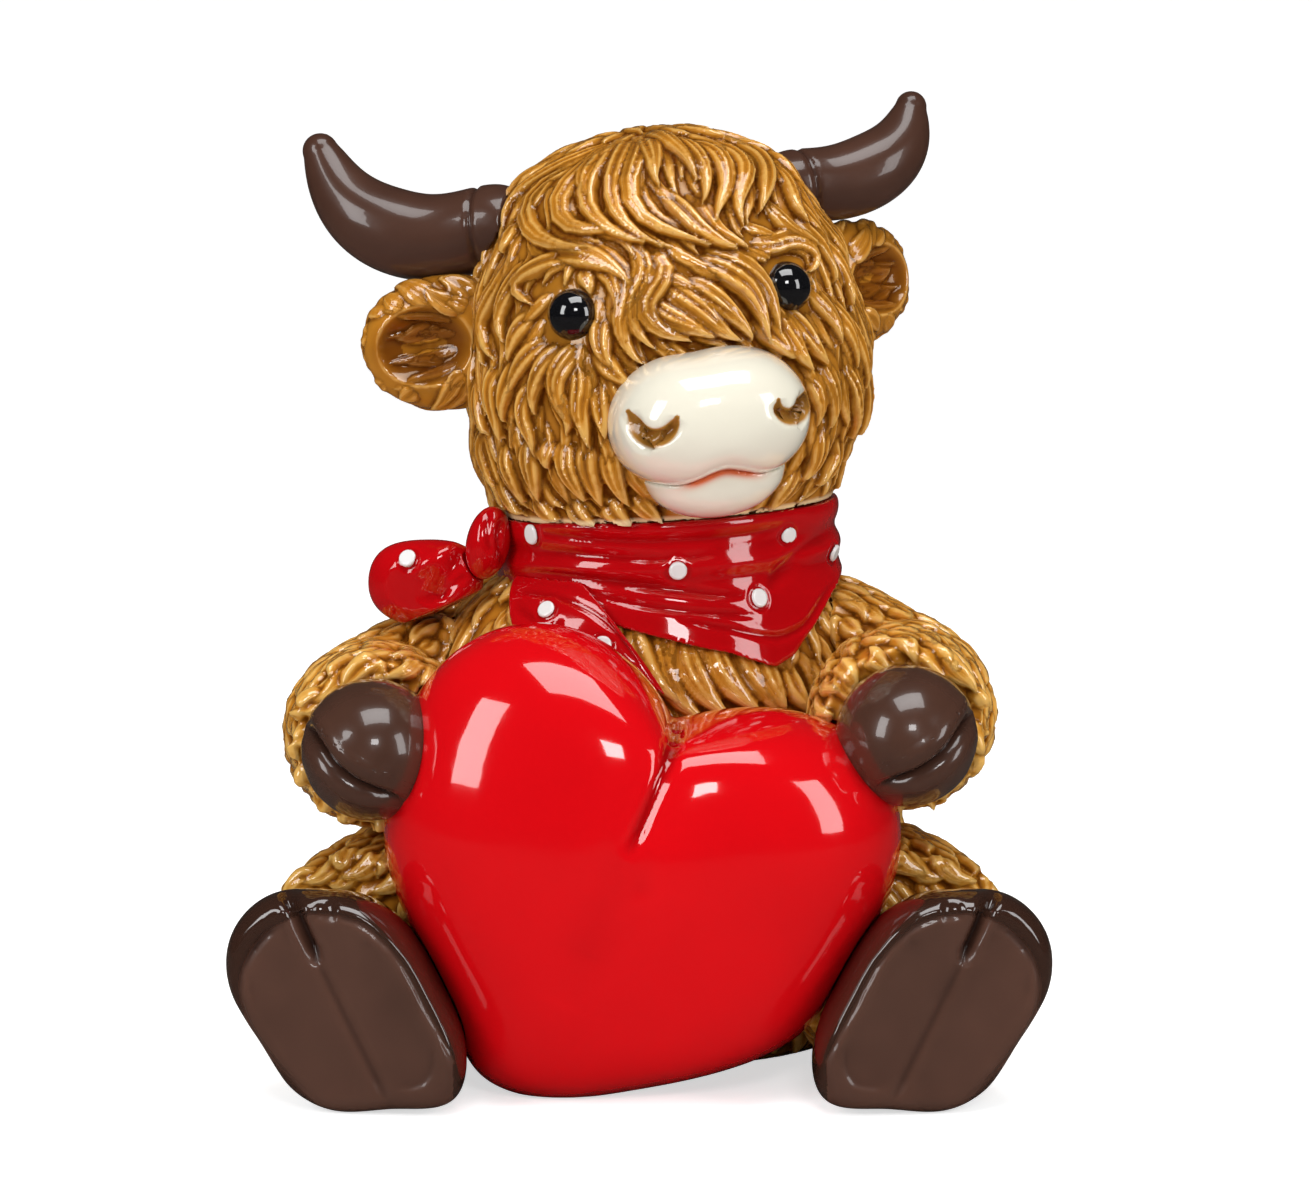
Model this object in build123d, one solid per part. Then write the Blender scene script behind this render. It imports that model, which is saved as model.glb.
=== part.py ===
"""Glazed ceramic cookie jar: a sitting Highland cow that holds a heart, with its head as the lid.

X runs to the cow's own left, Y to its back and Z up. The origin is the centre of the body's flat
base, on the surface that the jar stands on. Left and right are the cow's own.
"""
import os
from functools import cache
from math import atan2, cos, pi, sin

from build123d import *

# Walls, clearances and overruns
wall = 4.5
slip_film = 0.2
lid_clearance = 0.5
overrun = 6.0
bedding = 9.0
ball_steps = 8

# Jar body
torso_width = 160.0
torso_depth = 134.0
seat_height = 160.0
neck_tilt = 3.0
neck_radius = 44.0
neck_shift = 5.0
mouth_radius = 38.5
neck_depth = 14.0
floor_thickness = 8.0

# Lid shell, its flange and its seal
head_width = 119.0
head_depth = 110.0
head_height = 123.0
head_centre = (7.5, -3.0, 210.0)
head_lean = 7.5
head_turn = 10.0
jowl_shift = 7.0
rim_plate = 5.0
flange_depth = 13.0
flange_radius = 35.5
flange_wall = 4.0
seal_height = 5.0
seal_seat = 4.0
seal_groove = 1.5

# Horns
horn_radius = 12.8
horn_root = (40.0, 3.0, 38.0)
horn_reach = {"right": 51.0, "left": 46.0}
horn_rise = {"right": 29.5, "left": 19.0}
horn_sweep = {"right": 26.0, "left": 12.0}
horn_girth_share = {"right": 1.0, "left": 0.88}
cuff_groove = 1.1

# Ears
ear_length = {"right": 38.0, "left": 34.0}
ear_width = {"right": 40.0, "left": 36.0}
ear_thickness = 14.0
ear_root = (52.0, 3.0, 7.5)
ear_sweep = {"right": 16.0, "left": 36.0}
ear_hollow_depth = 6.0
ear_bowl_shares = (0.50, 0.30)

# Face
eye_radius = 6.9
eye_seat = 2.0
eye_place = {"right": (-32.3, -41.0, 13.6), "left": (29.3, -42.5, 12.8)}
muzzle_width = 58.0
muzzle_height = 38.5
muzzle_reach = 27.0
muzzle_place = (0.5, -53.0, -19.5)
nostril_place = (20.5, -71.0, -18.0)
nostril_radius = 5.5
nostril_bore = 2.3
nostril_turn = 24.0
chin_width = 40.0
chin_height = 25.0
chin_reach = 14.0
chin_drop = 17.0

# Arms and front hooves
arm_radius = 26.0
arm_shoulder = (38.0, 8.0, 110.0)
arm_elbow = (76.0, -20.0, 96.0)
arm_end = (75.5, -69.0, 99.5)
shoulder_lift = {"right": 0.0, "left": 10.0}
wrist_lift = {"right": 0.0, "left": 4.0}
elbow_share = 0.6
arm_girth_shares = (0.90, 1.00, 1.00, 0.98, 0.92)
hoof_out_share = 0.22
front_hoof_radius = 20.0
front_hoof_length = 46.0
front_hoof_cleft = 2.4
front_hoof_turn = 58.0

# Legs and rear hooves
leg_radius = 35.0
leg_hip = (42.0, 6.0, 37.5)
leg_end = (78.0, -68.0, 34.5)
rear_hoof_width = 69.0
rear_hoof_height = 62.0
rear_hoof_depth = 40.0
rear_hoof_place = (83.0, -106.0)
rear_hoof_toe_out = 9.0
sole_recess = 0.8
sole_rim = 7.0
rear_cleft_width = 8.0
rear_cleft_length = 19.0
sole_groove = 0.7
sole_groove_turn = 12.0
leg_girth_shares = (1.00, 1.00, 0.98, 0.92)

# Heart
heart_width = 147.0
heart_height = 136.0
heart_centre = (0.6, 66.5)
heart_back = -50.0
heart_depth = 66.0

# Neckerchief, knot, tails and dots
scarf_thickness = 6.0
scarf_rim = 1.0
scarf_band = 20.0
scarf_fold = 1.5
scarf_point = (42.0, 120.0)
scarf_flare = 9.0
scarf_corner_shares = (0.90, 0.24)
knot_width = 13.0
knot_height = 22.0
knot_place = (-44.5, -25.0, 151.5)
knot_lean = 12.0
tail_width = 26.0
back_tail_length = 36.0
back_tail_thickness = 15.0
back_tail_turn = 18.0
back_tail_tuck = 1.5
front_tail_length = 52.0
front_tail_thickness = 5.0
front_tail_turn = 20.0
dot_radius = 2.7
dot_height = 0.9

# Tail
tail_root = (4.0, 58.0, 72.0)
tail_drop = 58.0
tail_swing = 20.5
tail_stand = 13.5
tail_radius = 4.6
tuft_radius = 7.5

# Locks of hair that stand out from the head and the body
lock_radius = 6.0
lock_sink = 3.4
lock_sway = 7.0

# Each row: height share, width share and depth share of the jar body, from the floor up
torso_shares = [
    (0.000, 0.760, 0.760),
    (0.060, 0.905, 0.900),
    (0.250, 1.000, 1.000),
    (0.480, 0.955, 0.950),
    (0.670, 0.840, 0.840),
    (0.815, 0.700, 0.750),
]

# Each row: height share from the centre, width, depth and jowl shift shares of the head
head_shares = [
    (-0.475, 0.66, 0.68, 1.00),
    (-0.370, 0.86, 0.87, 0.70),
    (-0.205, 0.97, 0.98, 0.25),
    (-0.065, 1.00, 1.00, 0.00),
    (0.100, 0.94, 0.98, 0.00),
    (0.262, 0.83, 0.875, 0.00),
    (0.385, 0.66, 0.69, 0.00),
    (0.460, 0.44, 0.47, 0.00),
    (0.490, 0.22, 0.24, 0.00),
]

# Each row: share of the horn's reach, rise and sweep, and of its radius
horn_shares = [
    (0.00, 0.00, 0.00, 0.90),
    (0.17, 0.04, 0.20, 0.97),
    (0.40, 0.00, 0.38, 1.00),
    (0.65, 0.11, 0.55, 1.00),
    (0.85, 0.38, 0.75, 0.86),
    (0.96, 0.74, 0.93, 0.62),
    (1.00, 1.00, 1.00, 0.42),
]

# Each row: share of the tail's swing, stand-off and drop
tail_shares = [
    (0.00, 0.00, 0.00), (0.20, 0.74, 0.29), (0.585, 1.00, 0.62), (0.88, 0.96, 0.86),
    (1.00, 0.89, 1.00),
]

# Each row: share of a lock's run and of its radius
lock_shares = [(0.00, 0.22), (0.25, 0.80), (0.50, 1.00), (0.78, 0.72), (1.00, 0.18)]

# Each row: height shares where the locks start and end, how far they sweep round, and their turns
head_lock_rows = [
    (0.455, 0.275, 30, range(15, 375, 40)),
    (0.290, 0.060, -24, range(0, 360, 30)),
    (0.090, -0.140, 20, range(42, 342, 30)),
    (-0.110, -0.345, -14, range(30, 360, 30)),
]
body_lock_rows = [
    (0.850, 0.660, 8, (-24, -6, 12, 30, 110, 132, 154, 176, 198, 220, 242)),
    (0.680, 0.440, -10, range(104, 264, 20)),
    (0.460, 0.190, 8, range(112, 256, 20)),
]

# Outline points, as shares of the piece's width and height
heart_shares = [
    (0.061, 0.294), (-0.045, 0.440), (-0.135, 0.490), (-0.240, 0.499), (-0.355, 0.445),
    (-0.444, 0.329), (-0.490, 0.175), (-0.495, 0.015), (-0.450, -0.135), (-0.375, -0.323),
    (-0.315, -0.452), (-0.210, -0.500), (-0.030, -0.488), (0.170, -0.440), (0.309, -0.365),
    (0.420, -0.200), (0.493, -0.027), (0.482, 0.163), (0.400, 0.270), (0.260, 0.319),
    (0.125, 0.310),
]
muzzle_half_shares = [
    (0.00, 0.50), (0.20, 0.485), (0.36, 0.38), (0.47, 0.17), (0.495, -0.06),
    (0.44, -0.29), (0.33, -0.43), (0.20, -0.48), (0.08, -0.43), (0.00, -0.40),
]
ear_shares = [
    (0.00, 0.44), (0.40, 0.50), (0.78, 0.36), (0.98, 0.04), (0.86, -0.30), (0.50, -0.48),
    (0.00, -0.42),
]
rear_hoof_shares = [
    (-0.067, 0.500), (0.110, 0.442), (0.250, 0.285), (0.380, 0.035), (0.480, -0.270),
    (0.445, -0.425), (0.210, -0.482), (-0.060, -0.500), (-0.215, -0.420), (-0.370, -0.185),
    (-0.488, 0.057), (-0.480, 0.300), (-0.320, 0.480),
]
back_tail_shares = [
    (-0.50, 0.00), (-0.38, 0.36), (0.00, 0.50), (0.40, 0.38), (0.50, 0.06), (0.34, -0.34),
    (-0.10, -0.50), (-0.40, -0.34),
]
front_tail_shares = [
    (-0.50, 0.30), (-0.30, 0.46), (0.05, 0.42), (0.36, 0.22), (0.50, -0.16), (0.36, -0.32),
    (0.00, -0.32), (-0.40, -0.38),
]

# Each row: share of the depth from the back, share of the outline and how far it turns oval
heart_swell_shares = [
    (0.00, 0.88, 0.00), (0.20, 0.975, 0.00), (0.40, 1.00, 0.00), (0.62, 0.935, 0.06),
    (0.79, 0.79, 0.30), (0.91, 0.56, 0.62), (0.98, 0.27, 1.00),
]
bun_shares = [
    (0.00, 0.97, 0.00), (0.30, 1.00, 0.00), (0.58, 0.94, 0.10), (0.78, 0.80, 0.35),
    (0.92, 0.56, 0.70), (0.985, 0.27, 1.00),
]
leaf_swell_shares = [
    (0.0, 0.55, 0.0), (0.22, 0.88, 0.0), (0.5, 1.0, 0.0), (0.78, 0.88, 0.0), (1.0, 0.55, 0.0),
]
straight_shares = [(0.0, 1.0, 0.0), (1.0, 1.0, 0.0)]
hoof_swell_shares = [
    (0.00, 0.55, 0.50), (0.25, 0.80, 0.20), (0.55, 0.965, 0.05), (0.80, 1.00, 0.00),
    (0.93, 0.965, 0.00), (1.00, 0.88, 0.00),
]

# Each row: share of the way round, outward share and height share of the neckerchief's folds
fold_shares = [(0.0, 0.2), (0.25, 1.0), (0.42, 0.35), (0.68, 1.2), (0.86, 0.6), (1.0, 1.0)]

# Dots seen from in front and from behind: side and height on the neckerchief
front_dot_places = [(-31.5, 154.8), (11.0, 146.6), (42.5, 154.6), (53.5, 147.0), (34.5, 137.8)]
back_dot_places = [(-36.0, 148.5), (-12.0, 153.0), (16.0, 148.0), (42.0, 153.5)]
front_tail_dot_places = [(-27.0, 134.6), (-10.6, 125.8)]
back_tail_dot_places = [(-68.3, 146.6)]


@cache
def seat_frame():
    """The lid's seat, which rides a little higher on the cow's left."""
    return Pos(neck_shift, 0, seat_height) * Rot(0, -neck_tilt, 0)


def oval(place, width, depth, grow=0.0):
    """An oval section, level where its place is."""
    return (place * Ellipse(width / 2 + grow, depth / 2 + grow)).face()


def limb(points, radii, up, grow=0.0):
    """A round limb that tapers through its points, with each section square to the run."""
    last = len(points) - 1
    sections = []
    for index, (point, radius) in enumerate(zip(points, radii)):
        run = Vector(*points[min(index + 1, last)]) - Vector(*points[max(index - 1, 0)])
        reach = grow * ((index == last) - (index == 0))
        place = Vector(*point) + run.normalized() * reach
        section = Plane(origin=place, x_dir=Vector(*up).cross(run), z_dir=run)
        sections.append((section * Circle(radius + grow)).face())
    return loft(sections)


def swollen(outline, rows, width, height, depth, grow=0.0, pointed=True, cornered=False):
    """A puffed form: an outline in X and Z that swells and closes from a flat back towards -Y."""
    half_width = width / 2
    half_height = height / 2
    sections = []
    for depth_share, outline_share, oval_share in rows:
        place = grow - (depth + 2 * grow) * depth_share
        stretch_x = outline_share + grow / half_width
        stretch_z = outline_share + grow / half_height
        points = []
        for across, rise in outline:
            turn = atan2(rise, across)
            x = width * across * (1 - oval_share) + half_width * cos(turn) * oval_share
            z = height * rise * (1 - oval_share) + half_height * sin(turn) * oval_share
            points.append(Vector(x * stretch_x, place, z * stretch_z))
        if cornered:
            points.append(points[0])
        sections.append(Face(Wire([Spline(points, periodic=not cornered)])))
    if pointed:
        return loft([*sections, Vertex(0, -depth - grow, 0)])
    return loft(sections)


def side_sign(side):
    """The cow's left lies along +X."""
    return 1 if side == "left" else -1


def sided(place, side):
    """A place that is written for the cow's left, on either side."""
    x, y, z = place
    return (x * side_sign(side), y, z)


def spheroid(half_length, radius):
    """A ball stretched along X, through round sections."""
    sections = []
    for step in range(1, ball_steps):
        turn = pi * step / ball_steps
        place = Pos(-half_length * cos(turn), 0, 0) * Rot(0, 90, 0)
        sections.append((place * Circle(radius * sin(turn))).face())
    return loft([Vertex(-half_length, 0, 0), *sections, Vertex(half_length, 0, 0)])


@cache
def on_ground():
    """The space above the surface that the jar stands on."""
    reach = 4 * torso_width
    return Pos(0, 0, seat_height) * Box(reach, reach, 2 * seat_height)


@cache
def above_seat(rise=0.0):
    """The space over the lid's seat."""
    reach = 2 * head_width
    return seat_frame() * (Pos(0, 0, rise + head_height) * Box(reach, reach, 2 * head_height))


@cache
def head_frame():
    """Where the head stands on the neck: leaning to the cow's right and turned to its left."""
    return Pos(*head_centre) * Rot(0, -head_lean, 0) * Rot(0, 0, head_turn)


@cache
def torso_form(grow=0.0):
    """The pear-shaped body, with a round neck that rises to the lid's seat."""
    sections = []
    for height_share, width_share, depth_share in torso_shares:
        shift = neck_shift * max(0.0, 2 * height_share - 1)
        place = Pos(shift, 0, seat_height * height_share)
        sections.append(oval(place, torso_width * width_share, torso_depth * depth_share, grow))
    for drop in (neck_depth, 0.0):
        place = seat_frame() * Pos(0, 0, -drop)
        sections.append(oval(place, 2 * neck_radius, 2 * neck_radius, grow))
    return loft(sections)


@cache
def head_form(grow=0.0):
    """The whole head as an egg with low jowls, standing in its own place."""
    sections = []
    for height_share, width_share, depth_share, shift_share in head_shares:
        place = Pos(-jowl_shift * shift_share, 0, head_height * height_share)
        sections.append(oval(place, head_width * width_share, head_depth * depth_share, grow))
    egg = loft([*sections, Vertex(0, 0, head_height / 2 + grow)])
    return head_frame() * egg


def share_at(rows, height_share, column):
    """A column's share at any height, between the rows of a table."""
    rows = sorted(rows)
    for low, high in zip(rows, rows[1:]):
        if height_share <= high[0]:
            part = (height_share - low[0]) / (high[0] - low[0])
            return low[column] + (high[column] - low[column]) * part
    return rows[-1][column]


def locks(rows, place_at):
    """Locks of hair that sweep down a form, with their ends let into it."""
    made = []
    for start, end, sweep, turns in rows:
        for turn in turns:
            points = []
            for run_share, _ in lock_shares:
                height_share = start + (end - start) * run_share
                swayed = turn + sweep * run_share + lock_sway * sin(2 * pi * run_share)
                points.append(place_at(swayed * pi / 180, height_share))
            radii = [lock_radius * girth for _, girth in lock_shares]
            made.append(limb(points, radii, (cos(turn * pi / 180), sin(turn * pi / 180), 0)))
    return made


def trimmed(made, neighbours):
    """Locks cut back from the neighbours that they may reach."""
    spans = [(form, form.bounding_box()) for form in neighbours]
    fitted = []
    for lock in made:
        own = lock.bounding_box()
        near = [form for form, span in spans
                if own.min.X < span.max.X and span.min.X < own.max.X
                and own.min.Y < span.max.Y and span.min.Y < own.max.Y
                and own.min.Z < span.max.Z and span.min.Z < own.max.Z]
        fitted.append(lock.cut(*near) if near else lock)
    return fitted


def on_head(turn, height_share):
    """A place just under the head's surface, at a turn from the front."""
    half_width = head_width / 2 * share_at(head_shares, height_share, 1) - lock_sink
    half_depth = head_depth / 2 * share_at(head_shares, height_share, 2) - lock_sink
    shift = -jowl_shift * share_at(head_shares, height_share, 3)
    return (half_width * sin(turn) + shift, -half_depth * cos(turn), head_height * height_share)


def on_body(turn, height_share):
    """A place just under the body's surface, at a turn from the front."""
    half_width = torso_width / 2 * share_at(torso_shares, height_share, 1) - lock_sink
    half_depth = torso_depth / 2 * share_at(torso_shares, height_share, 2) - lock_sink
    shift = neck_shift * max(0.0, 2 * height_share - 1)
    return (half_width * sin(turn) + shift, -half_depth * cos(turn), seat_height * height_share)


def horn_run(side):
    """The horn's middle line and its radii, from the root to the tip."""
    root_x, root_y, root_z = horn_root
    points = []
    radii = []
    for reach_share, rise_share, sweep_share, girth_share in horn_shares:
        x = root_x + horn_reach[side] * reach_share
        y = root_y + horn_sweep[side] * sweep_share
        z = root_z + horn_rise[side] * rise_share
        points.append(sided((x, y, z), side))
        radii.append(horn_radius * horn_girth_share[side] * girth_share)
    return points, radii


@cache
def horn_form(side, grow=0.0):
    """A horn that leaves the head level, swells and turns up to a blunt tip."""
    points, radii = horn_run(side)
    tip = Pos(*points[-1]) * Sphere(radii[-1] + grow)
    return head_frame() * (limb(points, radii, (0, 1, 0), grow) + tip)


def horn(side):
    """A horn with the groove that marks it off from the hair round its root."""
    points, radii = horn_run(side)
    run = Vector(*points[2]) - Vector(*points[0])
    groove = Plane(origin=points[1], z_dir=run) * Torus(radii[1], cuff_groove)
    return horn_form(side) - head_form(slip_film) - head_frame() * groove


def ear_place(side):
    """Where an ear leaves the head, swept towards the back."""
    turn = ear_sweep[side] * side_sign(side)
    return head_frame() * Pos(*sided(ear_root, side)) * Rot(0, 0, turn)


@cache
def ear_form(side, grow=0.0):
    """A leaf-shaped ear with rounded faces."""
    length = ear_length[side]
    outline = [((x - 0.5) * side_sign(side), z) for x, z in ear_shares]
    leaf = swollen(outline, leaf_swell_shares, length, ear_width[side], ear_thickness, grow,
                   pointed=False)
    return ear_place(side) * (Pos(side_sign(side) * length / 2, ear_thickness / 2, 0) * leaf)


def ear(side):
    """An ear with a spoon-shaped hollow in its front face."""
    length = ear_length[side]
    half_length = length * ear_bowl_shares[0]
    half_width = ear_width[side] * ear_bowl_shares[1]
    radius = (half_width ** 2 + ear_hollow_depth ** 2) / (2 * ear_hollow_depth)
    stand_off = ear_hollow_depth - radius - ear_thickness / 2
    bowl = Pos(side_sign(side) * length / 2, stand_off, 0) * spheroid(half_length, radius)
    return ear_form(side) - head_form(slip_film) - horn_form(side, slip_film) - ear_place(side) * bowl


@cache
def eye_form(side, grow=0.0):
    """A round dome let into the head, with its back following the head's curve."""
    ball = head_frame() * (Pos(*eye_place[side]) * Sphere(eye_radius + grow))
    return ball - head_form(-eye_seat - grow)


@cache
def muzzle_form(grow=0.0):
    """The bun-shaped upper muzzle, notched below into two lips."""
    outline = muzzle_half_shares + [(-x, z) for x, z in reversed(muzzle_half_shares[1:-1])]
    bun = swollen(outline, bun_shares, muzzle_width, muzzle_height, muzzle_reach + bedding, grow)
    x, y, z = muzzle_place
    return head_frame() * (Pos(x, y + bedding, z) * bun)


def muzzle():
    """The muzzle with its two smile-shaped nostrils."""
    body = muzzle_form() - head_form(slip_film)
    for side in ("left", "right"):
        ring = Rot(90, 0, 0) * Torus(nostril_radius, nostril_bore)
        reach = 4 * nostril_radius
        lower = Pos(0, 0, -reach / 2) * Box(reach, reach, reach)
        smile = Rot(0, 0, side_sign(side) * nostril_turn) * (ring & lower)
        body -= head_frame() * (Pos(*sided(nostril_place, side)) * smile)
    return body


def chin():
    """The lower lip, tucked under the muzzle."""
    outline = [(cos(turn * pi / 6) / 2, sin(turn * pi / 6) / 2) for turn in range(12)]
    pad = swollen(outline, bun_shares, chin_width, chin_height, chin_reach + bedding)
    x, y, z = muzzle_place
    pad = head_frame() * (Pos(x, y + bedding, z - chin_drop) * pad)
    return pad - head_form(slip_film) - muzzle_form(slip_film)


def flange_disc(radius, low, high):
    """A disc about the mouth's axis between two heights over the seat."""
    return seat_frame() * (Pos(0, 0, (low + high) / 2) * Cylinder(radius, high - low))


def head_shell():
    """The lid: a hollow head with locks of hair, and a flange that drops into the jar's mouth."""
    neighbours = [muzzle_form(slip_film), flange_disc(2 * head_width, -head_height, rim_plate)]
    for side in ("left", "right"):
        neighbours += [form(side, slip_film) for form in (eye_form, horn_form, ear_form)]
    hair = [head_frame() * lock for lock in locks(head_lock_rows, on_head)]
    shell = (head_form() & above_seat()) + trimmed(hair, neighbours)
    shell += flange_disc(flange_radius, -flange_depth, rim_plate)
    shell -= head_form(-wall) & above_seat(rim_plate)
    shell -= flange_disc(flange_radius - flange_wall, -flange_depth - overrun, rim_plate + overrun)
    groove = flange_disc(mouth_radius, -seal_seat - seal_height, -seal_seat)
    groove -= flange_disc(flange_radius - seal_groove, -seal_seat - seal_height, -seal_seat)
    shell -= groove
    for side in ("left", "right"):
        shell -= eye_form(side, slip_film)
    return shell


def lid_seal():
    """A soft ring that sits in the flange's groove and closes the mouth."""
    low = slip_film - seal_seat - seal_height
    high = -seal_seat - slip_film
    ring = flange_disc(mouth_radius - lid_clearance, low, high)
    return ring - flange_disc(flange_radius - seal_groove + slip_film, low - overrun, overrun)


def jar_shell():
    """The hollow body with its flat floor and round mouth."""
    reach = 2 * torso_width
    room = Pos(0, 0, floor_thickness + seat_height) * Box(reach, reach, 2 * seat_height)
    inside = (torso_form(-wall) & room) - above_seat(-neck_depth)
    neighbours = [heart_form(slip_film), tail_form(slip_film)]
    neighbours += [neckerchief_form(slip_film), front_tail_form(slip_film)]
    for side in ("left", "right"):
        neighbours += [arm_form(side, slip_film), leg_form(side, slip_film)]
    shell = torso_form() + trimmed(locks(body_lock_rows, on_body), neighbours)
    return shell - inside - flange_disc(mouth_radius, -neck_depth - overrun, overrun)


@cache
def arm_form(side, grow=0.0):
    """An upper arm and sleeve that come round the side to the heart."""
    lift = Vector(0, 0, shoulder_lift[side])
    shoulder = Vector(*arm_shoulder) + lift
    elbow = Vector(*arm_elbow) + lift * elbow_share
    end = Vector(*arm_end) + Vector(0, 0, wrist_lift[side])
    outer = shoulder * (1 - elbow_share) + elbow * elbow_share + Vector(0, bedding / 2, 0)
    wrist = (elbow + end) / 2
    points = [sided(tuple(point), side) for point in (shoulder, outer, elbow, wrist, end)]
    radii = [arm_radius * share for share in arm_girth_shares]
    return limb(points, radii, (0, 0, 1), grow)


def front_hoof_place(side):
    """The hoof's centre, a little out of the sleeve."""
    x, y, z = arm_end
    return Pos(*sided((x, y - front_hoof_length * hoof_out_share, z + wrist_lift[side]), side))


@cache
def front_hoof_form(side, grow=0.0):
    """A domed hoof that fills the sleeve's end."""
    radius = front_hoof_radius + grow
    return front_hoof_place(side) * (Rot(0, 0, 90) * spheroid(front_hoof_length / 2 + grow, radius))


def front_hoof(side):
    """The hoof with the cleft that runs across it, pressed against the heart."""
    reach = 2 * front_hoof_length
    core = Rot(0, 0, 90) * spheroid(front_hoof_length / 2 - front_hoof_cleft,
                                    front_hoof_radius - front_hoof_cleft)
    blade = Rot(0, side_sign(side) * front_hoof_turn, 0) * Box(front_hoof_cleft / 2, reach, reach)
    cleft = front_hoof_place(side) * (blade - core)
    return front_hoof_form(side) - cleft - heart_form(slip_film)


def arm(side):
    """The hollow arm, with a socket at its end for the hoof."""
    solid = arm_form(side)
    core = arm_form(side, -wall)
    for form in (torso_form, heart_form):
        solid -= form(slip_film)
        core -= form(wall)
    return solid - front_hoof_form(side, slip_film) - (core - front_hoof_form(side, wall))


@cache
def leg_form(side, grow=0.0):
    """A short fat leg that lies on the ground and runs out to its hoof."""
    hip = Vector(*leg_hip)
    end = Vector(*leg_end)
    knee = (hip + end) / 2 + Vector(0, bedding, 0)
    shin = (knee + end) / 2 + Vector(0, bedding / 2, 0)
    points = [sided(tuple(point), side) for point in (hip, knee, shin, end)]
    radii = [leg_radius * share for share in leg_girth_shares]
    return limb(points, radii, (0, 0, 1), grow)


def leg(side):
    """The hollow leg, cut where the body and the hoof meet it."""
    solid = leg_form(side) - torso_form(slip_film) - rear_hoof_form(side, slip_film)
    core = leg_form(side, -wall) - torso_form(wall) - rear_hoof_form(side, wall)
    return (solid - core) & on_ground()


def rear_hoof_frame(side):
    """Where the sole faces the front, toed out a little."""
    x, y = rear_hoof_place
    place = Pos(*sided((x, y, rear_hoof_height / 2), side))
    return place * Rot(0, 0, side_sign(side) * rear_hoof_toe_out)


def bell(side, inset=0.0, grow=0.0):
    """The hoof's bell about its sole: it swells from the leg to a rounded sole edge."""
    outline = [(-x * side_sign(side), z) for x, z in rear_hoof_shares]
    body = swollen(outline, hoof_swell_shares, rear_hoof_width - 2 * inset,
                   rear_hoof_height - 2 * inset, rear_hoof_depth - 2 * inset, grow, pointed=False)
    return rear_hoof_frame(side) * (Pos(0, rear_hoof_depth - inset, 0) * body)


@cache
def rear_hoof_form(side, grow=0.0):
    """The whole hoof before its sole is worked."""
    return bell(side, 0.0, grow)


def rear_hoof(side):
    """The hollow hoof with its sole sunk inside a rim, its toe cleft and its centre groove."""
    outline = [(-x * side_sign(side), z) for x, z in rear_hoof_shares]
    frame = rear_hoof_frame(side)
    recess = swollen(outline, straight_shares, rear_hoof_width - 2 * sole_rim,
                     rear_hoof_height - 2 * sole_rim, sole_recess + overrun, pointed=False)
    body = rear_hoof_form(side) - frame * (Pos(0, sole_recess, 0) * recess)
    toe_x = rear_hoof_width * outline[0][0]
    wedge = Rot(180, 0, 0) * Cone(rear_cleft_width / 2, 0, rear_cleft_length)
    toe_z = (rear_hoof_height - rear_cleft_length) / 2 + sole_recess
    body -= frame * (Pos(toe_x, 0, toe_z) * wedge)
    groove = Cylinder(sole_groove, rear_hoof_height - 2 * sole_rim)
    groove = Rot(0, side_sign(side) * sole_groove_turn, 0) * groove
    body -= frame * (Pos(0, sole_recess, -rear_cleft_width) * groove)
    return (body - bell(side, wall)) & on_ground()


@cache
def heart_form(grow=0.0):
    """The puffed heart, tipped to the cow's right, whose crease fades over its front."""
    x, z = heart_centre
    body = swollen(heart_shares, heart_swell_shares, heart_width, heart_height, heart_depth, grow,
                   cornered=True)
    return Pos(x, heart_back, z) * body


def heart():
    """The hollow heart, bedded on the belly between the limbs."""
    solid = heart_form() - torso_form(slip_film) - front_tail_form(slip_film)
    core = heart_form(-wall) - torso_form(wall) - front_tail_form(wall)
    for side in ("left", "right"):
        solid -= leg_form(side, slip_film) + rear_hoof_form(side, slip_film)
        core -= leg_form(side, wall) + rear_hoof_form(side, wall)
    return (solid - core) & on_ground()


@cache
def scarf_ring(grow=0.0):
    """The cloth's folded ring and its skirt, as one turned form."""
    reach = neck_radius + scarf_thickness
    low = scarf_point[1] - seat_height - scarf_flare
    rim = (reach - scarf_thickness / 2 + grow, scarf_rim + grow)
    hem = (reach + scarf_flare + grow, low)
    folds = [(reach + scarf_fold * (out - 1) + grow, scarf_rim - (scarf_band + scarf_rim) * drop)
             for drop, out in fold_shares]
    skirt = (reach + scarf_flare / 2 + grow, (low - scarf_band) / 2)
    outer = Spline([Vector(r, 0, z) for r, z in (rim, *folds, skirt, hem)])
    inner = Polyline((hem[0], 0, low), (0, 0, low), (0, 0, rim[1]), (rim[0], 0, rim[1]))
    return seat_frame() * revolve(Face(Wire([outer, *inner.edges()])), Axis.Z)


@cache
def neckerchief_form(grow=0.0):
    """The ring cut to a band, with the cloth's corner hanging over the chest."""
    reach = 4 * neck_radius
    band = seat_frame() * (Pos(0, 0, (overrun - scarf_band) / 2)
                           * Box(reach, reach, scarf_band + overrun + 2 * grow))
    tip_x, tip_z = scarf_point
    side = neck_radius + scarf_thickness
    base = seat_height - scarf_band
    start_x = -side * scarf_corner_shares[0]
    turn_z = tip_z + scarf_band * scarf_corner_shares[1]
    points = [
        (start_x, base + overrun), (start_x, base - grow),
        (tip_x - side / 2, turn_z - grow), (tip_x - dot_radius, tip_z - grow),
        (tip_x + dot_radius, tip_z + dot_radius - grow),
        (neck_shift + side + scarf_flare / 2, base + overrun), (side, base + 2 * overrun),
    ]
    corner = Polyline([Vector(x, 0, z) for x, z in points], close=True)
    flap = extrude(Face(Wire(corner.edges())), reach, dir=(0, -1, 0))
    return scarf_ring(grow) & (band + flap)


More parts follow.
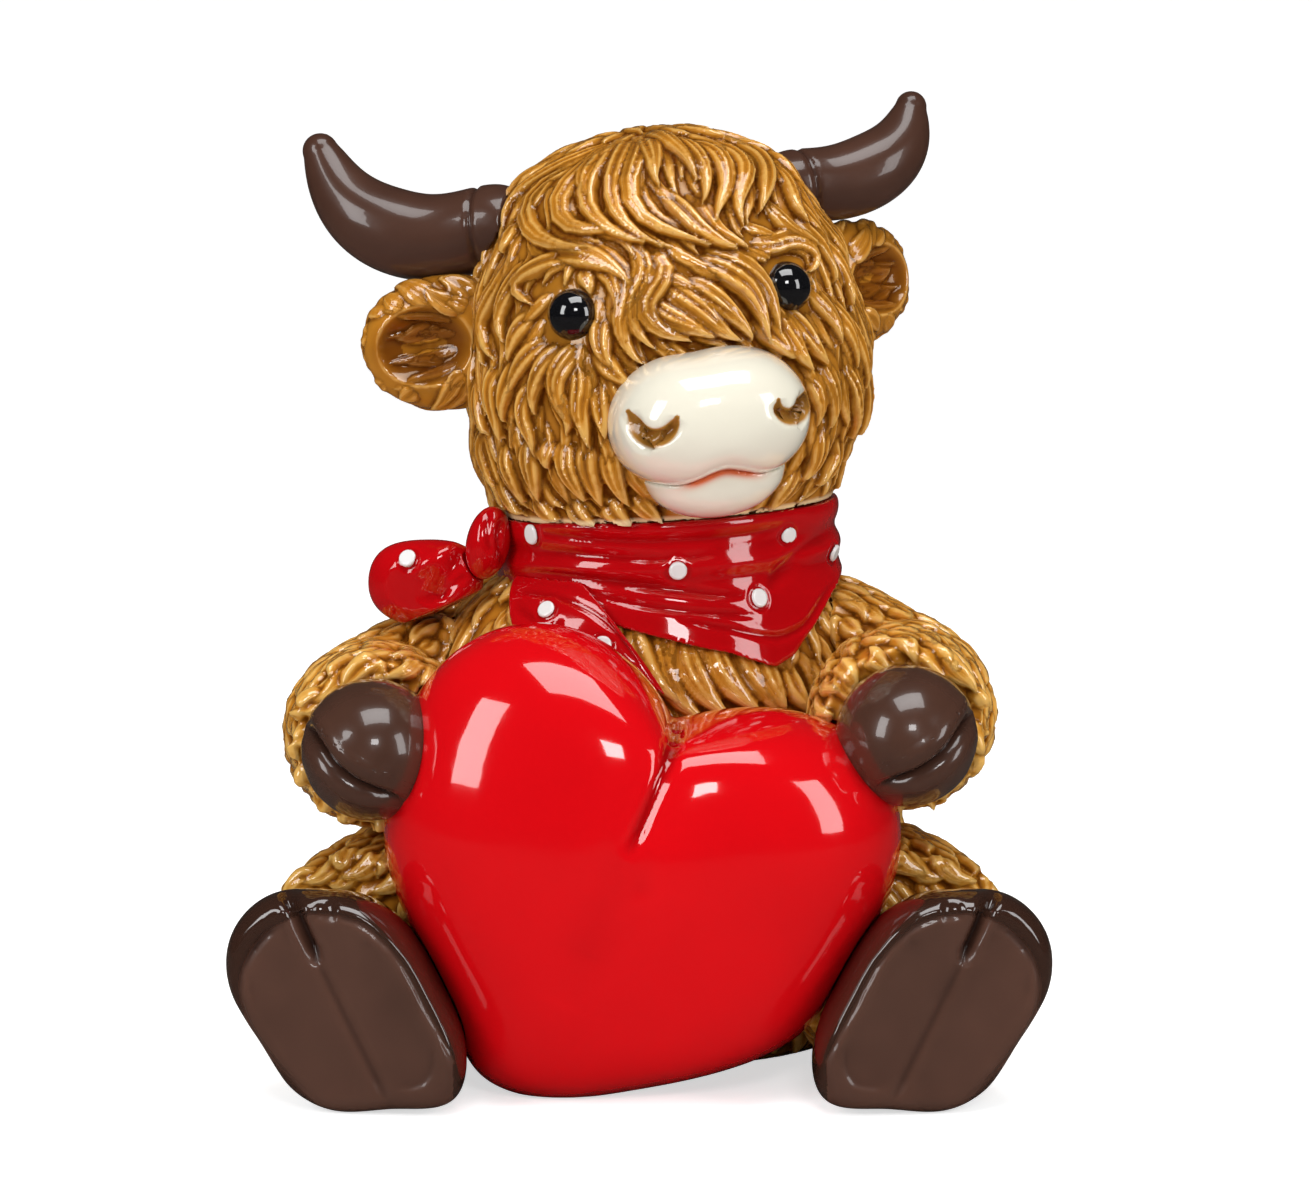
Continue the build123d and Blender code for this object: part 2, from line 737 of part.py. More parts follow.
def neckerchief():
    """The neckerchief, bedded on the neck and chest and clear of the lid."""
    cloth = neckerchief_form() - torso_form(slip_film)
    for side in ("left", "right"):
        cloth -= arm_form(side, slip_film)
    return cloth - (head_form(lid_clearance) & above_seat(-lid_clearance))


@cache
def knot_form(grow=0.0):
    """The turned loop of the knot."""
    ball = Rot(90, 0, 0) * spheroid(knot_height / 2 + grow, knot_width / 2 + grow)
    return Pos(*knot_place) * (Rot(0, knot_lean + 90, 0) * ball)


def neckerchief_knot():
    """The knot at the cow's right, clear of the ring and of the lid."""
    return knot_form() - neckerchief_form(slip_film) - torso_form(slip_film) - head_form(lid_clearance)


@cache
def back_tail_form(grow=0.0):
    """The end of the cloth that bows out behind the knot."""
    bow = swollen(back_tail_shares, leaf_swell_shares, back_tail_length, tail_width,
                  back_tail_thickness, grow, pointed=False)
    x, y, z = knot_place
    place = (x - back_tail_length / 2 + back_tail_tuck, y + back_tail_thickness, z - tail_width / 2)
    return Pos(*place) * (Rot(0, 0, -back_tail_turn) * bow)


def neckerchief_back_tail():
    """The back tail, clear of the knot, the ring and the shoulder."""
    bow = back_tail_form() - neckerchief_form(slip_film) - knot_form(slip_film)
    return bow - arm_form("right", slip_film) - torso_form(slip_film)


@cache
def front_tail_form(grow=0.0):
    """The end of the cloth that lies on the chest and runs in behind the heart."""
    strip = swollen(front_tail_shares, straight_shares, front_tail_length, tail_width,
                    torso_depth / 2, grow, pointed=False)
    x = knot_place[0] + (knot_width + front_tail_length) / 2
    z = knot_place[2] - (knot_height + tail_width) / 2
    return Pos(x, 0, z) * (Rot(0, front_tail_turn, 0) * strip) & torso_form(front_tail_thickness + grow)


def neckerchief_front_tail():
    """The front tail, clear of the chest and of the band above it."""
    strip = front_tail_form() - torso_form(slip_film) - neckerchief_form(slip_film)
    return strip - arm_form("right", slip_film)


def dot_on(form, x, z, facing):
    """A raised dot where a level line along Y first meets the cloth, with its back cut to suit."""
    start = Vector(x, facing * torso_depth, z)
    hits = form().find_intersection_points(Axis(start, (0, -facing, 0)))
    point, normal = min(hits, key=lambda hit: (hit[0] - start).length)
    if normal.Y * facing < 0:
        normal = -normal
    disc = Cylinder(dot_radius, 2 * dot_height)
    disc = chamfer(disc.faces().sort_by(Axis.Z)[-1].edges(), dot_height / 2)
    return Plane(origin=point, z_dir=normal) * disc - form(slip_film)


def neckerchief_dots():
    """Every raised dot, as one group."""
    dots = [dot_on(neckerchief_form, x, z, -1) for x, z in front_dot_places]
    dots += [dot_on(neckerchief_form, x, z, 1) for x, z in back_dot_places]
    dots += [dot_on(back_tail_form, x, z, -1) for x, z in back_tail_dot_places]
    for x, z in front_tail_dot_places:
        dots.append(dot_on(front_tail_form, x, z, -1) - heart_form(slip_film))
    return Compound(children=[solid for dot in dots for solid in dot.solids()])


@cache
def tail_form(grow=0.0):
    """The tail, hanging down the back into a tuft of hair."""
    x, y, z = tail_root
    points = [(x + tail_swing * swing, y + tail_stand * stand, z - tail_drop * drop)
              for swing, stand, drop in tail_shares]
    radii = (tail_radius, tail_radius, tuft_radius, tuft_radius, tail_radius / 2)
    return limb(points, radii, (1, 0, 0), grow)


def tail():
    """The tail, bedded on the back."""
    return tail_form() - torso_form(slip_film)


single_nodes = {
    "jar_shell": jar_shell,
    "tail": tail,
    "head_shell": head_shell,
    "lid_seal": lid_seal,
    "muzzle": muzzle,
    "chin": chin,
    "heart": heart,
    "neckerchief": neckerchief,
    "neckerchief_knot": neckerchief_knot,
    "neckerchief_back_tail": neckerchief_back_tail,
    "neckerchief_front_tail": neckerchief_front_tail,
    "neckerchief_dots": neckerchief_dots,
}
paired_nodes = {
    "horn": horn,
    "ear": ear,
    "eye": eye_form,
    "arm": arm,
    "front_hoof": front_hoof,
    "leg": leg,
    "rear_hoof": rear_hoof,
}

os.makedirs("parts", exist_ok=True)
for name, make in single_nodes.items():
    export_step(make(), f"parts/{name}.step")
for name, make in paired_nodes.items():
    for side in ("left", "right"):
        export_step(make(side), f"parts/{side}_{name}.step")
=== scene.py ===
"""Dresses the lidded cow jar: modelled hair under glaze, polished glaze on the rest, and a stage."""
import math
import random
from collections import namedtuple

import bmesh
import bpy
import numpy as np
from mathutils import Matrix, Vector
from mathutils.bvhtree import BVHTree
from mathutils.interpolate import poly_3d_calc


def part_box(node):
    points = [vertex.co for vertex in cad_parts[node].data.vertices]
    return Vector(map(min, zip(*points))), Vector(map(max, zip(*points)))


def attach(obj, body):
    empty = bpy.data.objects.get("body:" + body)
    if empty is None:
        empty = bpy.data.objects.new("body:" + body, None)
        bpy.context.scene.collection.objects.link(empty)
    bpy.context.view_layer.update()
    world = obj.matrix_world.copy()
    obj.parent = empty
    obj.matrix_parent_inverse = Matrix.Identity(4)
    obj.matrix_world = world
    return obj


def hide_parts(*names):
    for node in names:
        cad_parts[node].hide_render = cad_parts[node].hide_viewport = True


bl_info = {
    "name": "Cow jar dresser",
    "version": (1, 0, 0),
    "blender": (4, 5, 0),
    "location": "3D View > Sidebar > Cow jar",
    "description": "Builds the hair, the glazes and the stage of a lidded cow jar",
    "category": "Object",
}

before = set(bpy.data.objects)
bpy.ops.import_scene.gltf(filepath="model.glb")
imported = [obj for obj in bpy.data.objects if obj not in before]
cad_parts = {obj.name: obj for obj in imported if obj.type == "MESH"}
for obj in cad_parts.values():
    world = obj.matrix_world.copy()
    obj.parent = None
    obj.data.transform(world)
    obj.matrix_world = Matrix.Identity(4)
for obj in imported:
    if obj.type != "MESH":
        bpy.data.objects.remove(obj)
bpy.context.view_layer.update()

MM = 0.001
WHITE = (1, 1, 1)

# The cow's sides, with the sign of x on each
SIDES = (("left", 1), ("right", -1))

# Where the lid sits on the jar, and how the head stands on it
SEAT = Matrix.Translation((0.005, 0.0, 0.160)) @ Matrix.Rotation(math.radians(-3.0), 4, "Y")
HEAD = (Matrix.Translation((0.0075, -0.003, 0.210)) @ Matrix.Rotation(math.radians(-7.5), 4, "Y")
        @ Matrix.Rotation(math.radians(10.0), 4, "Z"))

# The camera: its aim, distance, tilt and lens, and what follows from them
AIM = Vector((0.0047, -0.020, 0.134))
CAMERA_DISTANCE = 1.2901
CAMERA_TILT = math.radians(8.0)
LENS = 120
SENSOR = 36
LOOK = Vector((0.0, math.cos(CAMERA_TILT), -math.sin(CAMERA_TILT)))
UP = Vector((0.0, math.sin(CAMERA_TILT), math.cos(CAMERA_TILT)))
CAMERA_PLACE = AIM - LOOK * CAMERA_DISTANCE

# Locks of hair, root to tip, in millimetres right of and above the camera's aim
HEAD_LOCKS = [
    [(-12.7, 136.2), (-18.7, 132.3), (-29.1, 129.7), (-37.8, 125.8), (-45.1, 120.2), (-47.3, 113.2)],
    [(-11.8, 134.9), (-22.2, 129.7), (-32.6, 124.1), (-39.5, 119.3), (-42.9, 114.1), (-43.4, 108.1)],
    [(-17.9, 131.4), (-25.6, 126.2), (-33.4, 121.9), (-37.8, 115.8), (-37.3, 109.8), (-33.4, 105.5),
     (-25.6, 102.9), (-17, 102.9)],
    [(-15.3, 133.2), (-20.4, 127.1), (-25.6, 121.9), (-29.1, 116.7), (-27.4, 110.7), (-22.2, 108.1),
     (-15.3, 108.5), (-8.3, 107.2)],
    [(-12.7, 134), (-17, 128), (-20.4, 121.9), (-20.4, 115.8), (-17, 110.7), (-10.1, 106.3), (-3.1, 104.2)],
    [(-10.9, 136.6), (-16.6, 130.6), (-20.4, 124.5), (-21.3, 120.2), (-18.9, 116.9)],
    [(-7.5, 135.7), (-10.1, 129.7), (-12.7, 122.8), (-12.7, 115.8), (-9.2, 109.8), (-3.1, 105.5),
     (2.1, 103.3)],
    [(-4, 136.2), (-4.9, 128.8), (-7.5, 121.9), (-7.5, 115.8), (-3.1, 110.7), (4.6, 107.2), (15.5, 103.3)],
    [(-3.1, 135.7), (-1, 128.8), (-1.4, 123.6), (0.8, 120.2)],
    [(-3.1, 137), (3.8, 133.2), (9, 128.8), (11.4, 121.7)],
    [(2.1, 136.2), (9.8, 132.3), (14.2, 126.2), (14.6, 119.3), (12.9, 115)],
    [(8.1, 135.7), (15.9, 132.3), (20.2, 127.1), (20.7, 121), (17.6, 115), (16.8, 109.8)],
    [(14.2, 135.7), (22.8, 131.4), (25.9, 126.2), (23.7, 119.3), (22.8, 115), (25, 108.1)],
    [(21.1, 135.3), (29.7, 131.4), (32.3, 125.4), (30.6, 118.4), (29.3, 112.4)],
    [(26.3, 134.5), (34.1, 129.7), (38.4, 122.8), (39.3, 115), (43.6, 109.8)],
    [(31.5, 133.2), (38.4, 128), (42.7, 121), (47.9, 114.1), (51.4, 105.5)],
    [(0.3, 121), (4.6, 117.6), (9, 112.4), (12.4, 108.1), (19.4, 103.7), (23.7, 102.4)],
    [(10.7, 119.3), (14.2, 114.1), (16.3, 108.9), (21.1, 105.5), (26.7, 102.9)],
    [(-34.3, 102), (-25.6, 102), (-17, 100.3), (-10.9, 96.8), (-7, 92.5)],
    [(-3.1, 102.9), (2.9, 98.5), (0.3, 93.3), (-3.6, 89), (-3.1, 83), (2.1, 78.6), (10.7, 76)],
    [(10.7, 101.1), (19.4, 96.8), (26.3, 92.5), (29.7, 85.6), (31.5, 78.6), (32.3, 75.2)],
    [(2.1, 93.3), (7.2, 89), (14.2, 83.8), (19.4, 78.6), (24.6, 76)],
    [(7.2, 94.2), (14.2, 90.7), (20.2, 85.6), (25.4, 80.4), (28, 76)],
    [(12.4, 103.7), (21.1, 100.3), (28, 96.4), (32.3, 90.7), (34.1, 83.8), (35.4, 76.9)],
    [(-3.1, 89), (2.1, 83.8), (9.8, 80.4), (16.8, 76.9)],
    [(-9.2, 106.3), (-4, 101.1), (-3.1, 95.9), (-6.6, 90.7), (-8.3, 84.7), (-4.9, 77.8), (0.3, 73.4)],
    [(-15.3, 101.1), (-9.2, 95.9), (-7.5, 90.7), (-10.1, 84.7), (-10.1, 78.6), (-6.6, 71.7), (-3.1, 69.1)],
    [(-17.9, 75.2), (-15.3, 70.8), (-11.8, 66.5), (-6.6, 63.5)],
    [(-23, 75.6), (-26.5, 70.8), (-29.1, 64.8), (-27.4, 57.9), (-24.8, 52.9)],
    [(-15.3, 84.7), (-16.1, 78.6), (-15.3, 72.6), (-11.8, 68.2)],
    [(-20.4, 99.8), (-27.4, 100.3), (-34.3, 97.7), (-39.9, 94.2), (-40.8, 90.7), (-35.2, 86.9)],
    [(-47.3, 108.1), (-49, 101.1), (-53.3, 95.1), (-56.8, 88.1), (-57.7, 80.4), (-54.2, 73.4),
     (-49.4, 68.7)],
    [(-42.9, 102.9), (-44.7, 95.1), (-48.1, 89), (-50.7, 82.1), (-49, 75.2), (-46.4, 70.8)],
    [(-37.8, 101.1), (-40.4, 95.1), (-43.8, 88.1), (-44.7, 82.1), (-42.9, 75.2)],
    [(-41.2, 111.5), (-42.1, 106.3), (-43.8, 101.1)],
    [(-35.2, 84.7), (-39.5, 80.4), (-41.2, 75.2), (-42.1, 70)],
    [(-31.7, 76.9), (-36.9, 72.6), (-40.4, 66.5), (-42.1, 59.6)],
    [(-27.4, 75.2), (-32.6, 69.1), (-35.2, 62.2), (-34.3, 54.4)],
    [(26.3, 105.5), (32.3, 103.7), (38.4, 106.3), (44.5, 103.7), (46.6, 99.4), (43.2, 95.9)],
    [(31.5, 118.4), (35.8, 111.5), (40.1, 107.2), (46.2, 103.7)],
    [(40.1, 114.1), (45.3, 107.2), (49.7, 99.4), (51.4, 92.5)],
    [(47.9, 108.1), (52.2, 101.1), (54.8, 93.3), (56.1, 85.6)],
    [(44.5, 92.5), (47.9, 87.3), (51.4, 82.1), (53.1, 75.2)],
    [(38.4, 86.4), (41.9, 80.4), (45.3, 74.3), (48.8, 69.1)],
    [(35.8, 85.6), (38.4, 78.6), (41, 72.6), (44.5, 67.4)],
    [(55.7, 85.6), (58.3, 78.6), (60, 70.8), (60, 62.2)],
    [(48.8, 90.7), (53.1, 83.8), (56.6, 76), (57.4, 68.2)],
    [(28, 84.7), (31.5, 80.4), (35.8, 75.2), (39.3, 70.8)],
    [(-52.5, 67), (-54.2, 60.1), (-50.7, 54.1), (-48.1, 48.9)],
    [(-45.5, 70.5), (-48.1, 63.6), (-46.4, 56.6), (-43.8, 46.7)],
    [(-38.6, 72.2), (-42.1, 65.3), (-43.8, 58.4), (-42.9, 52.3)],
    [(-35.2, 65.3), (-38.6, 59.2), (-37.8, 52.3), (-35.2, 48), (-34.3, 42.8)],
    [(-29.1, 71.4), (-30, 64.4), (-27.4, 58.4), (-24.3, 53.2), (-25.6, 48.4)],
    [(-23, 71.4), (-21.3, 64.4), (-22.2, 57.5), (-20.4, 50.6), (-18.7, 44.5)],
    [(-17, 66.2), (-16.1, 59.2), (-15.3, 52.3), (-14.4, 47.1)],
    [(-50.7, 51.5), (-51.6, 45.4), (-48.1, 38.5), (-44.7, 33.3)],
    [(-44.7, 47.1), (-43.8, 40.2), (-40.4, 35), (-36.9, 29)],
    [(-37.8, 48), (-36.9, 41.1), (-34.3, 35), (-32.6, 29.8)],
    [(-31.7, 48), (-31.7, 42.8), (-30.4, 38.9)],
    [(-26.5, 48), (-26.5, 41.1), (-23, 35), (-19.6, 29.8)],
    [(-19.6, 47.1), (-20.4, 40.2), (-17.9, 34.1), (-15.3, 28.1)],
    [(-14.4, 45.4), (-13.5, 39.3), (-10.9, 33.3), (-7.5, 28.1)],
    [(-55.9, 61), (-56.4, 54.1), (-54.2, 47.1), (-51.6, 41.9)],
    [(-46.4, 36.7), (-42.9, 30.7), (-37.8, 25.5)],
    [(-36, 31.5), (-32.6, 27.2), (-27.4, 23.8)],
    [(-25.6, 29.8), (-22.2, 25.5), (-17, 22.9)],
    [(-15.3, 29.8), (-11.8, 25.5), (-6.6, 22.9)],
    [(-7.5, 31.5), (-3.1, 27.2), (2.1, 23.8)],
    [(47.9, 71.4), (50.5, 64.4), (51.4, 57.5), (49.7, 50.6)],
    [(54.8, 71.4), (57.4, 63.6), (57.4, 55.8), (54.8, 48)],
    [(60, 71.4), (60.9, 63.6), (60, 55.8), (57.4, 48.9)],
    [(48.8, 52.3), (47.9, 46.3), (45.3, 40.2), (41, 35.9)],
    [(54, 48.9), (52.2, 42.8), (48.8, 38.5), (45.3, 34.1)],
    [(57.4, 50.6), (56.6, 45.4), (53.1, 41.1)],
    [(42.7, 40.2), (39.3, 35), (34.9, 30.7), (31.5, 27.2)],
]
CHEST_LOCKS = [
    [(-7.1, -6.6), (-5.0, -15.5), (-0.5, -24.0), (6.5, -30.5)],
    [(0.1, -9.4), (1.8, -22.1), (7.7, -31.5), (15.3, -36.5)],
    [(7.7, -11.0), (9.4, -21.4), (15.3, -30.0), (22.0, -35.5)],
    [(16.1, -11.0), (17.8, -20.5), (23.7, -28.3), (30.5, -34.3)],
    [(22.9, -12.8), (25.4, -19.7), (29.6, -26.6), (34.8, -33.5)],
    [(31.0, -16.4), (32.5, -24.8), (37.4, -33.5)],
    [(38.1, -18.4), (39.5, -26.7), (44.5, -34.4)],
    [(46, -16.4), (48.4, -24.3), (52.8, -32)],
    [(53.1, -11.9), (57.2, -20.2), (61.9, -26.7)],
    [(57.2, 8.1), (66.1, 4.3), (73.5, -0.1), (80.8, -7.5)],
    [(60.8, 2.8), (69.9, -1.9), (77.9, -8.4), (83.8, -16.4)],
    [(53.7, 2.8), (60.8, -3.7), (68.4, -11.4)],
    [(57.2, -6), (65.5, -11.9), (73.5, -17.8)],
    [(72, 2.8), (80.8, -3.7), (87.3, -11.9), (91.2, -20.2)],
]

# Folds in the cloth: depth, width and line in millimetres as the camera sees them; a ridge is below 0
CLOTH_FOLDS = {
    "neckerchief": [
        (-0.9, 1.7, [(-42.2, 23.2), (-27.1, 21.1), (-7.4, 19.9), (11.5, 20.6), (29.3, 22.3), (44.4, 26.3)]),
        (0.9, 1.3, [(-42.2, 20.7), (-27.1, 18.1), (-7.4, 16.6), (11.5, 17.4), (29.3, 19.3), (44.4, 23.2)]),
        (0.6, 1.2, [(-34.6, 14.4), (-15.8, 12.5), (4.9, 11.7), (19.9, 13.8)]),
        (1.1, 1.5, [(-43.1, 8.7), (-27.1, 7.0), (-12.1, 5.0), (6.8, 2.8), (21.8, 1.2), (28.4, 2.1)]),
        (0.8, 1.3, [(-22.4, 2.8), (-7.4, -1.2), (10.5, -3.9), (31.2, -4.3)]),
        (1.2, 1.9, [(49.6, 21.1), (42.5, 15.0), (35.0, 7.0), (33.6, 2.8)]),
        (0.7, 1.1, [(51.4, 8.0), (47.2, 1.4), (43.0, -6.9), (35.0, -9.9), (20.9, -8.6), (4.9, -5.0)]),
    ],
    "neckerchief_knot": [
        (1.0, 1.3, [(-44.5, 24.9), (-46.7, 19.3), (-45.9, 13.1), (-43.9, 8.0)]),
        (0.9, 1.3, [(-49.2, 27.3), (-50.4, 21.1), (-48.6, 13.1)]),
    ],
    "neckerchief_back_tail": [
        (1.8, 3.2, [(-54.9, 16.0), (-59.1, 10.6), (-63.3, 4.2), (-67.1, -2.4)]),
        (-0.7, 2.0, [(-56.3, 17.4), (-64.7, 13.1), (-72.3, 7.0)]),
        (0.8, 1.5, [(-55.3, 8.0), (-61.0, 2.8), (-64.7, -1.0)]),
    ],
    "neckerchief_front_tail": [
        (0.7, 1.1, [(-43.9, 2.3), (-34.6, 2.1), (-21.5, -1.6), (-12.1, -9.0), (-4.5, -19.3)]),
        (0.6, 1.6, [(-42.2, -1.0), (-36.5, -6.1), (-27.1, -7.6)]),
    ],
}

# Grooves of the right rear and front hooves, given in the same way
SOLE_FOLDS = [
    (1.1, 1.0, [(-100.2, -148.6), (-106.2, -143.6), (-112.2, -137.6), (-118.1, -130.1),
                (-122.1, -122.6), (-123.1, -114.7), (-121.9, -109.2), (-118.6, -102.7), (-113.1, -97.2),
                (-107.7, -94.7)]),
    (1.1, 1.0, [(-102.2, -93.3), (-94.2, -93.5), (-86.7, -95.8), (-80.7, -101.2), (-75.3, -106.9),
                (-71.3, -113.7), (-67.3, -122.1), (-63.3, -129.1), (-59.8, -136.6)]),
    (0.8, 1.3, [(-103.0, -100.0), (-100.2, -106.5), (-95.0, -117.0), (-88.0, -131.0), (-80.8, -145.3),
                (-78.0, -151.0)]),
    (4.2, 1.8, [(-112.5, -78.0), (-108.6, -86.5), (-105.5, -94.5), (-101.5, -103.5), (-99.5, -108.0)]),
    (-0.5, 1.0, [(-104.9, -89.0), (-102.0, -96.0), (-99.4, -103.0)]),
    (-0.5, 1.0, [(-111.0, -91.0), (-107.5, -98.0), (-102.8, -105.0)]),
]
TOE_CLEFT = [(-110.5, -28.0), (-104.0, -36.9), (-101.0, -41.6), (-96.8, -48.4), (-90.1, -54.3),
             (-82.5, -57.6), (-73.0, -60.0)]
HOOF_FOLDS = [
    (-0.7, 2.5, [(-106.0, -27.0), (-99.5, -35.0), (-95.0, -43.0), (-88.0, -49.0), (-78.0, -53.0)]),
    (-0.6, 2.0, [(-110.0, -36.0), (-104.5, -44.0), (-99.5, -52.0), (-92.5, -58.5), (-80.5, -62.0)]),
    (2.6, 1.7, TOE_CLEFT),
    (1.2, 0.7, TOE_CLEFT),
]

# Where the made clefts are filled before the grooves are pressed, how far round and in how many steps
OLD_CLEFTS = {
    "sole": ((-98.0, -90.0), 17.0, 700),
    "nostrils": ((-2.0, 49.0), 13.0, 600),
    "far_nostril": ((40.5, 56.0), 12.0, 600),
}

# The front hoof's middle and half sizes in millimetres, at the cow's left, and how much higher that one is
FRONT_HOOF = (75.5, -79.1, 99.5)
FRONT_HOOF_HALF = np.array((20.0, 23.0, 20.0))
LEFT_HOOF_RISE = 4.0

# The sole at the cow's left: its middle in metres and its turn in degrees; in millimetres the half sizes of
# what is levelled, how far that lies below the middle, and how deep the face is
SOLE = (0.083, -0.106, 0.031)
SOLE_TURN = 9.0
SOLE_HALF = (24, 21)
SOLE_DROP = 4
SOLE_DEPTH = 6

# The heart's crease, given in the same way
HEART_FOLDS = [
    (1.5, 2.2, [(8.0, -32.0), (5.2, -42.0), (1.2, -54.0), (-4.0, -66.0), (-9.0, -76.0)]),
    (1.3, 9.0, [(8.0, -32.0), (4.0, -45.0), (-1.0, -58.0), (-9.0, -78.0), (-19.0, -102.0),
                (-27.0, -120.0)]),
]

# The nostrils, given in the same way
NOSTRILS = [
    (3.0, 2.2, [(-8.2, 55.4), (-7.0, 51.8), (-4.4, 48.8), (-1.0, 47.4), (2.6, 48.4), (5.0, 51.2),
                (6.2, 53.6)]),
    (3.0, 2.0, [(36.2, 58.8), (37.2, 55.6), (39.8, 53.8), (42.6, 55.2), (44.4, 58.4), (44.9, 62.2)]),
]

# The lines that the neckerchief's tails are drawn in to, and by what share
TAIL_LINES = {
    "neckerchief_back_tail": (((-78.3, -8.7), (-57.2, 0.5)), 0.8),
    "neckerchief_front_tail": (((-2.4, -22.2), (-15.0, -4.5)), 0.85),
}

# How far the neckerchief is spread, in millimetres: its upper edge up, its side out and its corner down
SPREAD_UP = 0.7
SPREAD_OUT = 4.0
SPREAD_DOWN = 2.2

# How far in millimetres the cloth dips round its dots
DOT_DIP = 0.35

# The mouth's middle and half width in millimetres right of the camera's aim
MOUTH = (19.5, 11)

# How far the middle of a nostril's wash lies above its line, in millimetres
NOSTRIL_RISE = 3.5

# Ears: length, width and sweep to the back in degrees; their root on the head
EARS = {"left": (0.034, 0.036, 36.0), "right": (0.038, 0.040, 16.0)}
EAR_ROOT = (0.052, 0.003, 0.0075)

# Limbs: name, root and end at the cow's left, how far the hair falls, and the hoof
LIMBS = (
    ("arm", (0.038, 0.008, 0.112), (0.0755, -0.069, 0.0995), 0.35, "front_hoof"),
    ("leg", (0.042, 0.006, 0.0375), (0.078, -0.068, 0.0345), 0.15, "rear_hoof"),
)

# How often the skin under the locks and the soles are smoothed
CALM_STEPS = 60
LEVEL_STEPS = 80

# How deep the skin under the locks sinks, as a share of their height
SINK = 0.35

# Spacing of the locks in metres, and how far they swing from side to side in radians
SPACING = {"head": 0.0064, "body": 0.0070, "limb": 0.0060, "ear": 0.0066, "tail": 0.0035}
SWING = {"head": 0.3, "body": 0.6, "limb": 0.45, "ear": 0.3, "tail": 0.3}

# Lengths in metres of the locks that no size in the panel sets, and the tail's width and height of a lock
LENGTH = {"head": 0.025, "ear": 0.019, "tail": 0.012}
TAIL_LOCK = (0.004, 0.0014)

# Heights in metres of the guides that lead the locks between the drawn ones
HEAD_GUIDES = (-0.045, -0.02, 0.005, 0.03, 0.05)
BODY_GUIDES = (0.02, 0.06, 0.10, 0.135)

# What the locks keep clear of, and the least distance in millimetres; below 0 only the inside counts
HEAD_CLEAR = (("left_eye", 1.2), ("right_eye", 1.2), ("muzzle", 1.0), ("chin", 0.8),
              ("left_horn", 0.5), ("right_horn", 0.5))
BODY_CLEAR = (("heart", 0.5), ("neckerchief", 0.4), ("neckerchief_front_tail", 0.4), ("left_leg", -1.0),
              ("right_leg", -1.0), ("left_arm", -1.0), ("right_arm", -1.0), ("tail", -1.0))
LIMB_CLEAR = (("heart", 0.6), ("jar_shell", 1.0), ("neckerchief", 0.5), ("neckerchief_back_tail", 0.5))

# Height in metres where the hair on the body ends under the neckerchief, and where its skin is cut
BODY_HAIR_TOP = 0.149
BODY_CUT = 0.1485

# The floor: half width, front edge, and the y and z that it runs back and up through
FLOOR_HALF = 3
FLOOR_FRONT = -2.5
FLOOR_RUN = ((2.0, 0), (2.35, 0.1), (2.6, 0.35), (2.7, 0.7), (2.7, 3.5))

# How much brighter the floor looks to the camera than its light makes it, and its colour in reflections
FLOOR_GLOW = 0.62
FLOOR_IN_GLAZE = (0.06, 0.055, 0.05)

# The surround: how much light it gives, how bright the camera sees it and how bright the glaze shows it
SURROUND_LIGHT = 0.30
SURROUND_SEEN = (3.3, 3.3, 3.3)
SURROUND_IN_GLAZE = (0.05, 0.05, 0.05)

# Lights: name, place, width, height and power
STUDIO_LIGHTS = (
    ("key_left", (-1.1, -0.9, 0.75), 0.45, 0.9, 9.0),
    ("fill_right", (1.25, -0.8, 0.6), 0.4, 0.9, 6.5),
    ("top", (0.1, -0.35, 1.3), 0.9, 0.6, 10.0),
    ("front_high", (0.25, -1.6, 1.0), 0.4, 0.3, 5.0),
)

# A lock of hair to bend over a surface
Lock = namedtuple("Lock", "points normals width height strands phase stand")


class JarSizes(bpy.types.PropertyGroup):
    """Sizes of the modelled hair and of the finished surfaces."""

    head_lock_width: bpy.props.FloatProperty(
        name="Head lock width", description="Widest part of a lock on the head",
        default=0.0068, min=0.002, max=0.02, unit="LENGTH")
    head_lock_height: bpy.props.FloatProperty(
        name="Head lock height", description="How far a lock on the head stands out",
        default=0.0030, min=0.0005, max=0.01, unit="LENGTH")
    body_lock_width: bpy.props.FloatProperty(
        name="Body lock width", description="Widest part of a lock on the body and the limbs",
        default=0.0072, min=0.002, max=0.02, unit="LENGTH")
    body_lock_length: bpy.props.FloatProperty(
        name="Body lock length", description="Length of a lock on the body and the limbs",
        default=0.019, min=0.005, max=0.06, unit="LENGTH")
    hair_grain: bpy.props.FloatProperty(
        name="Hair grain", description="Edge length of the faces that carry the hair",
        default=0.00062, min=0.0004, max=0.003, unit="LENGTH")
    polish_grain: bpy.props.FloatProperty(
        name="Polish grain", description="Edge length of the faces of the large smooth pieces",
        default=0.0010, min=0.0004, max=0.003, unit="LENGTH")
    seed: bpy.props.IntProperty(
        name="Seed", description="Number that fixes how the locks are scattered", default=7, min=0)


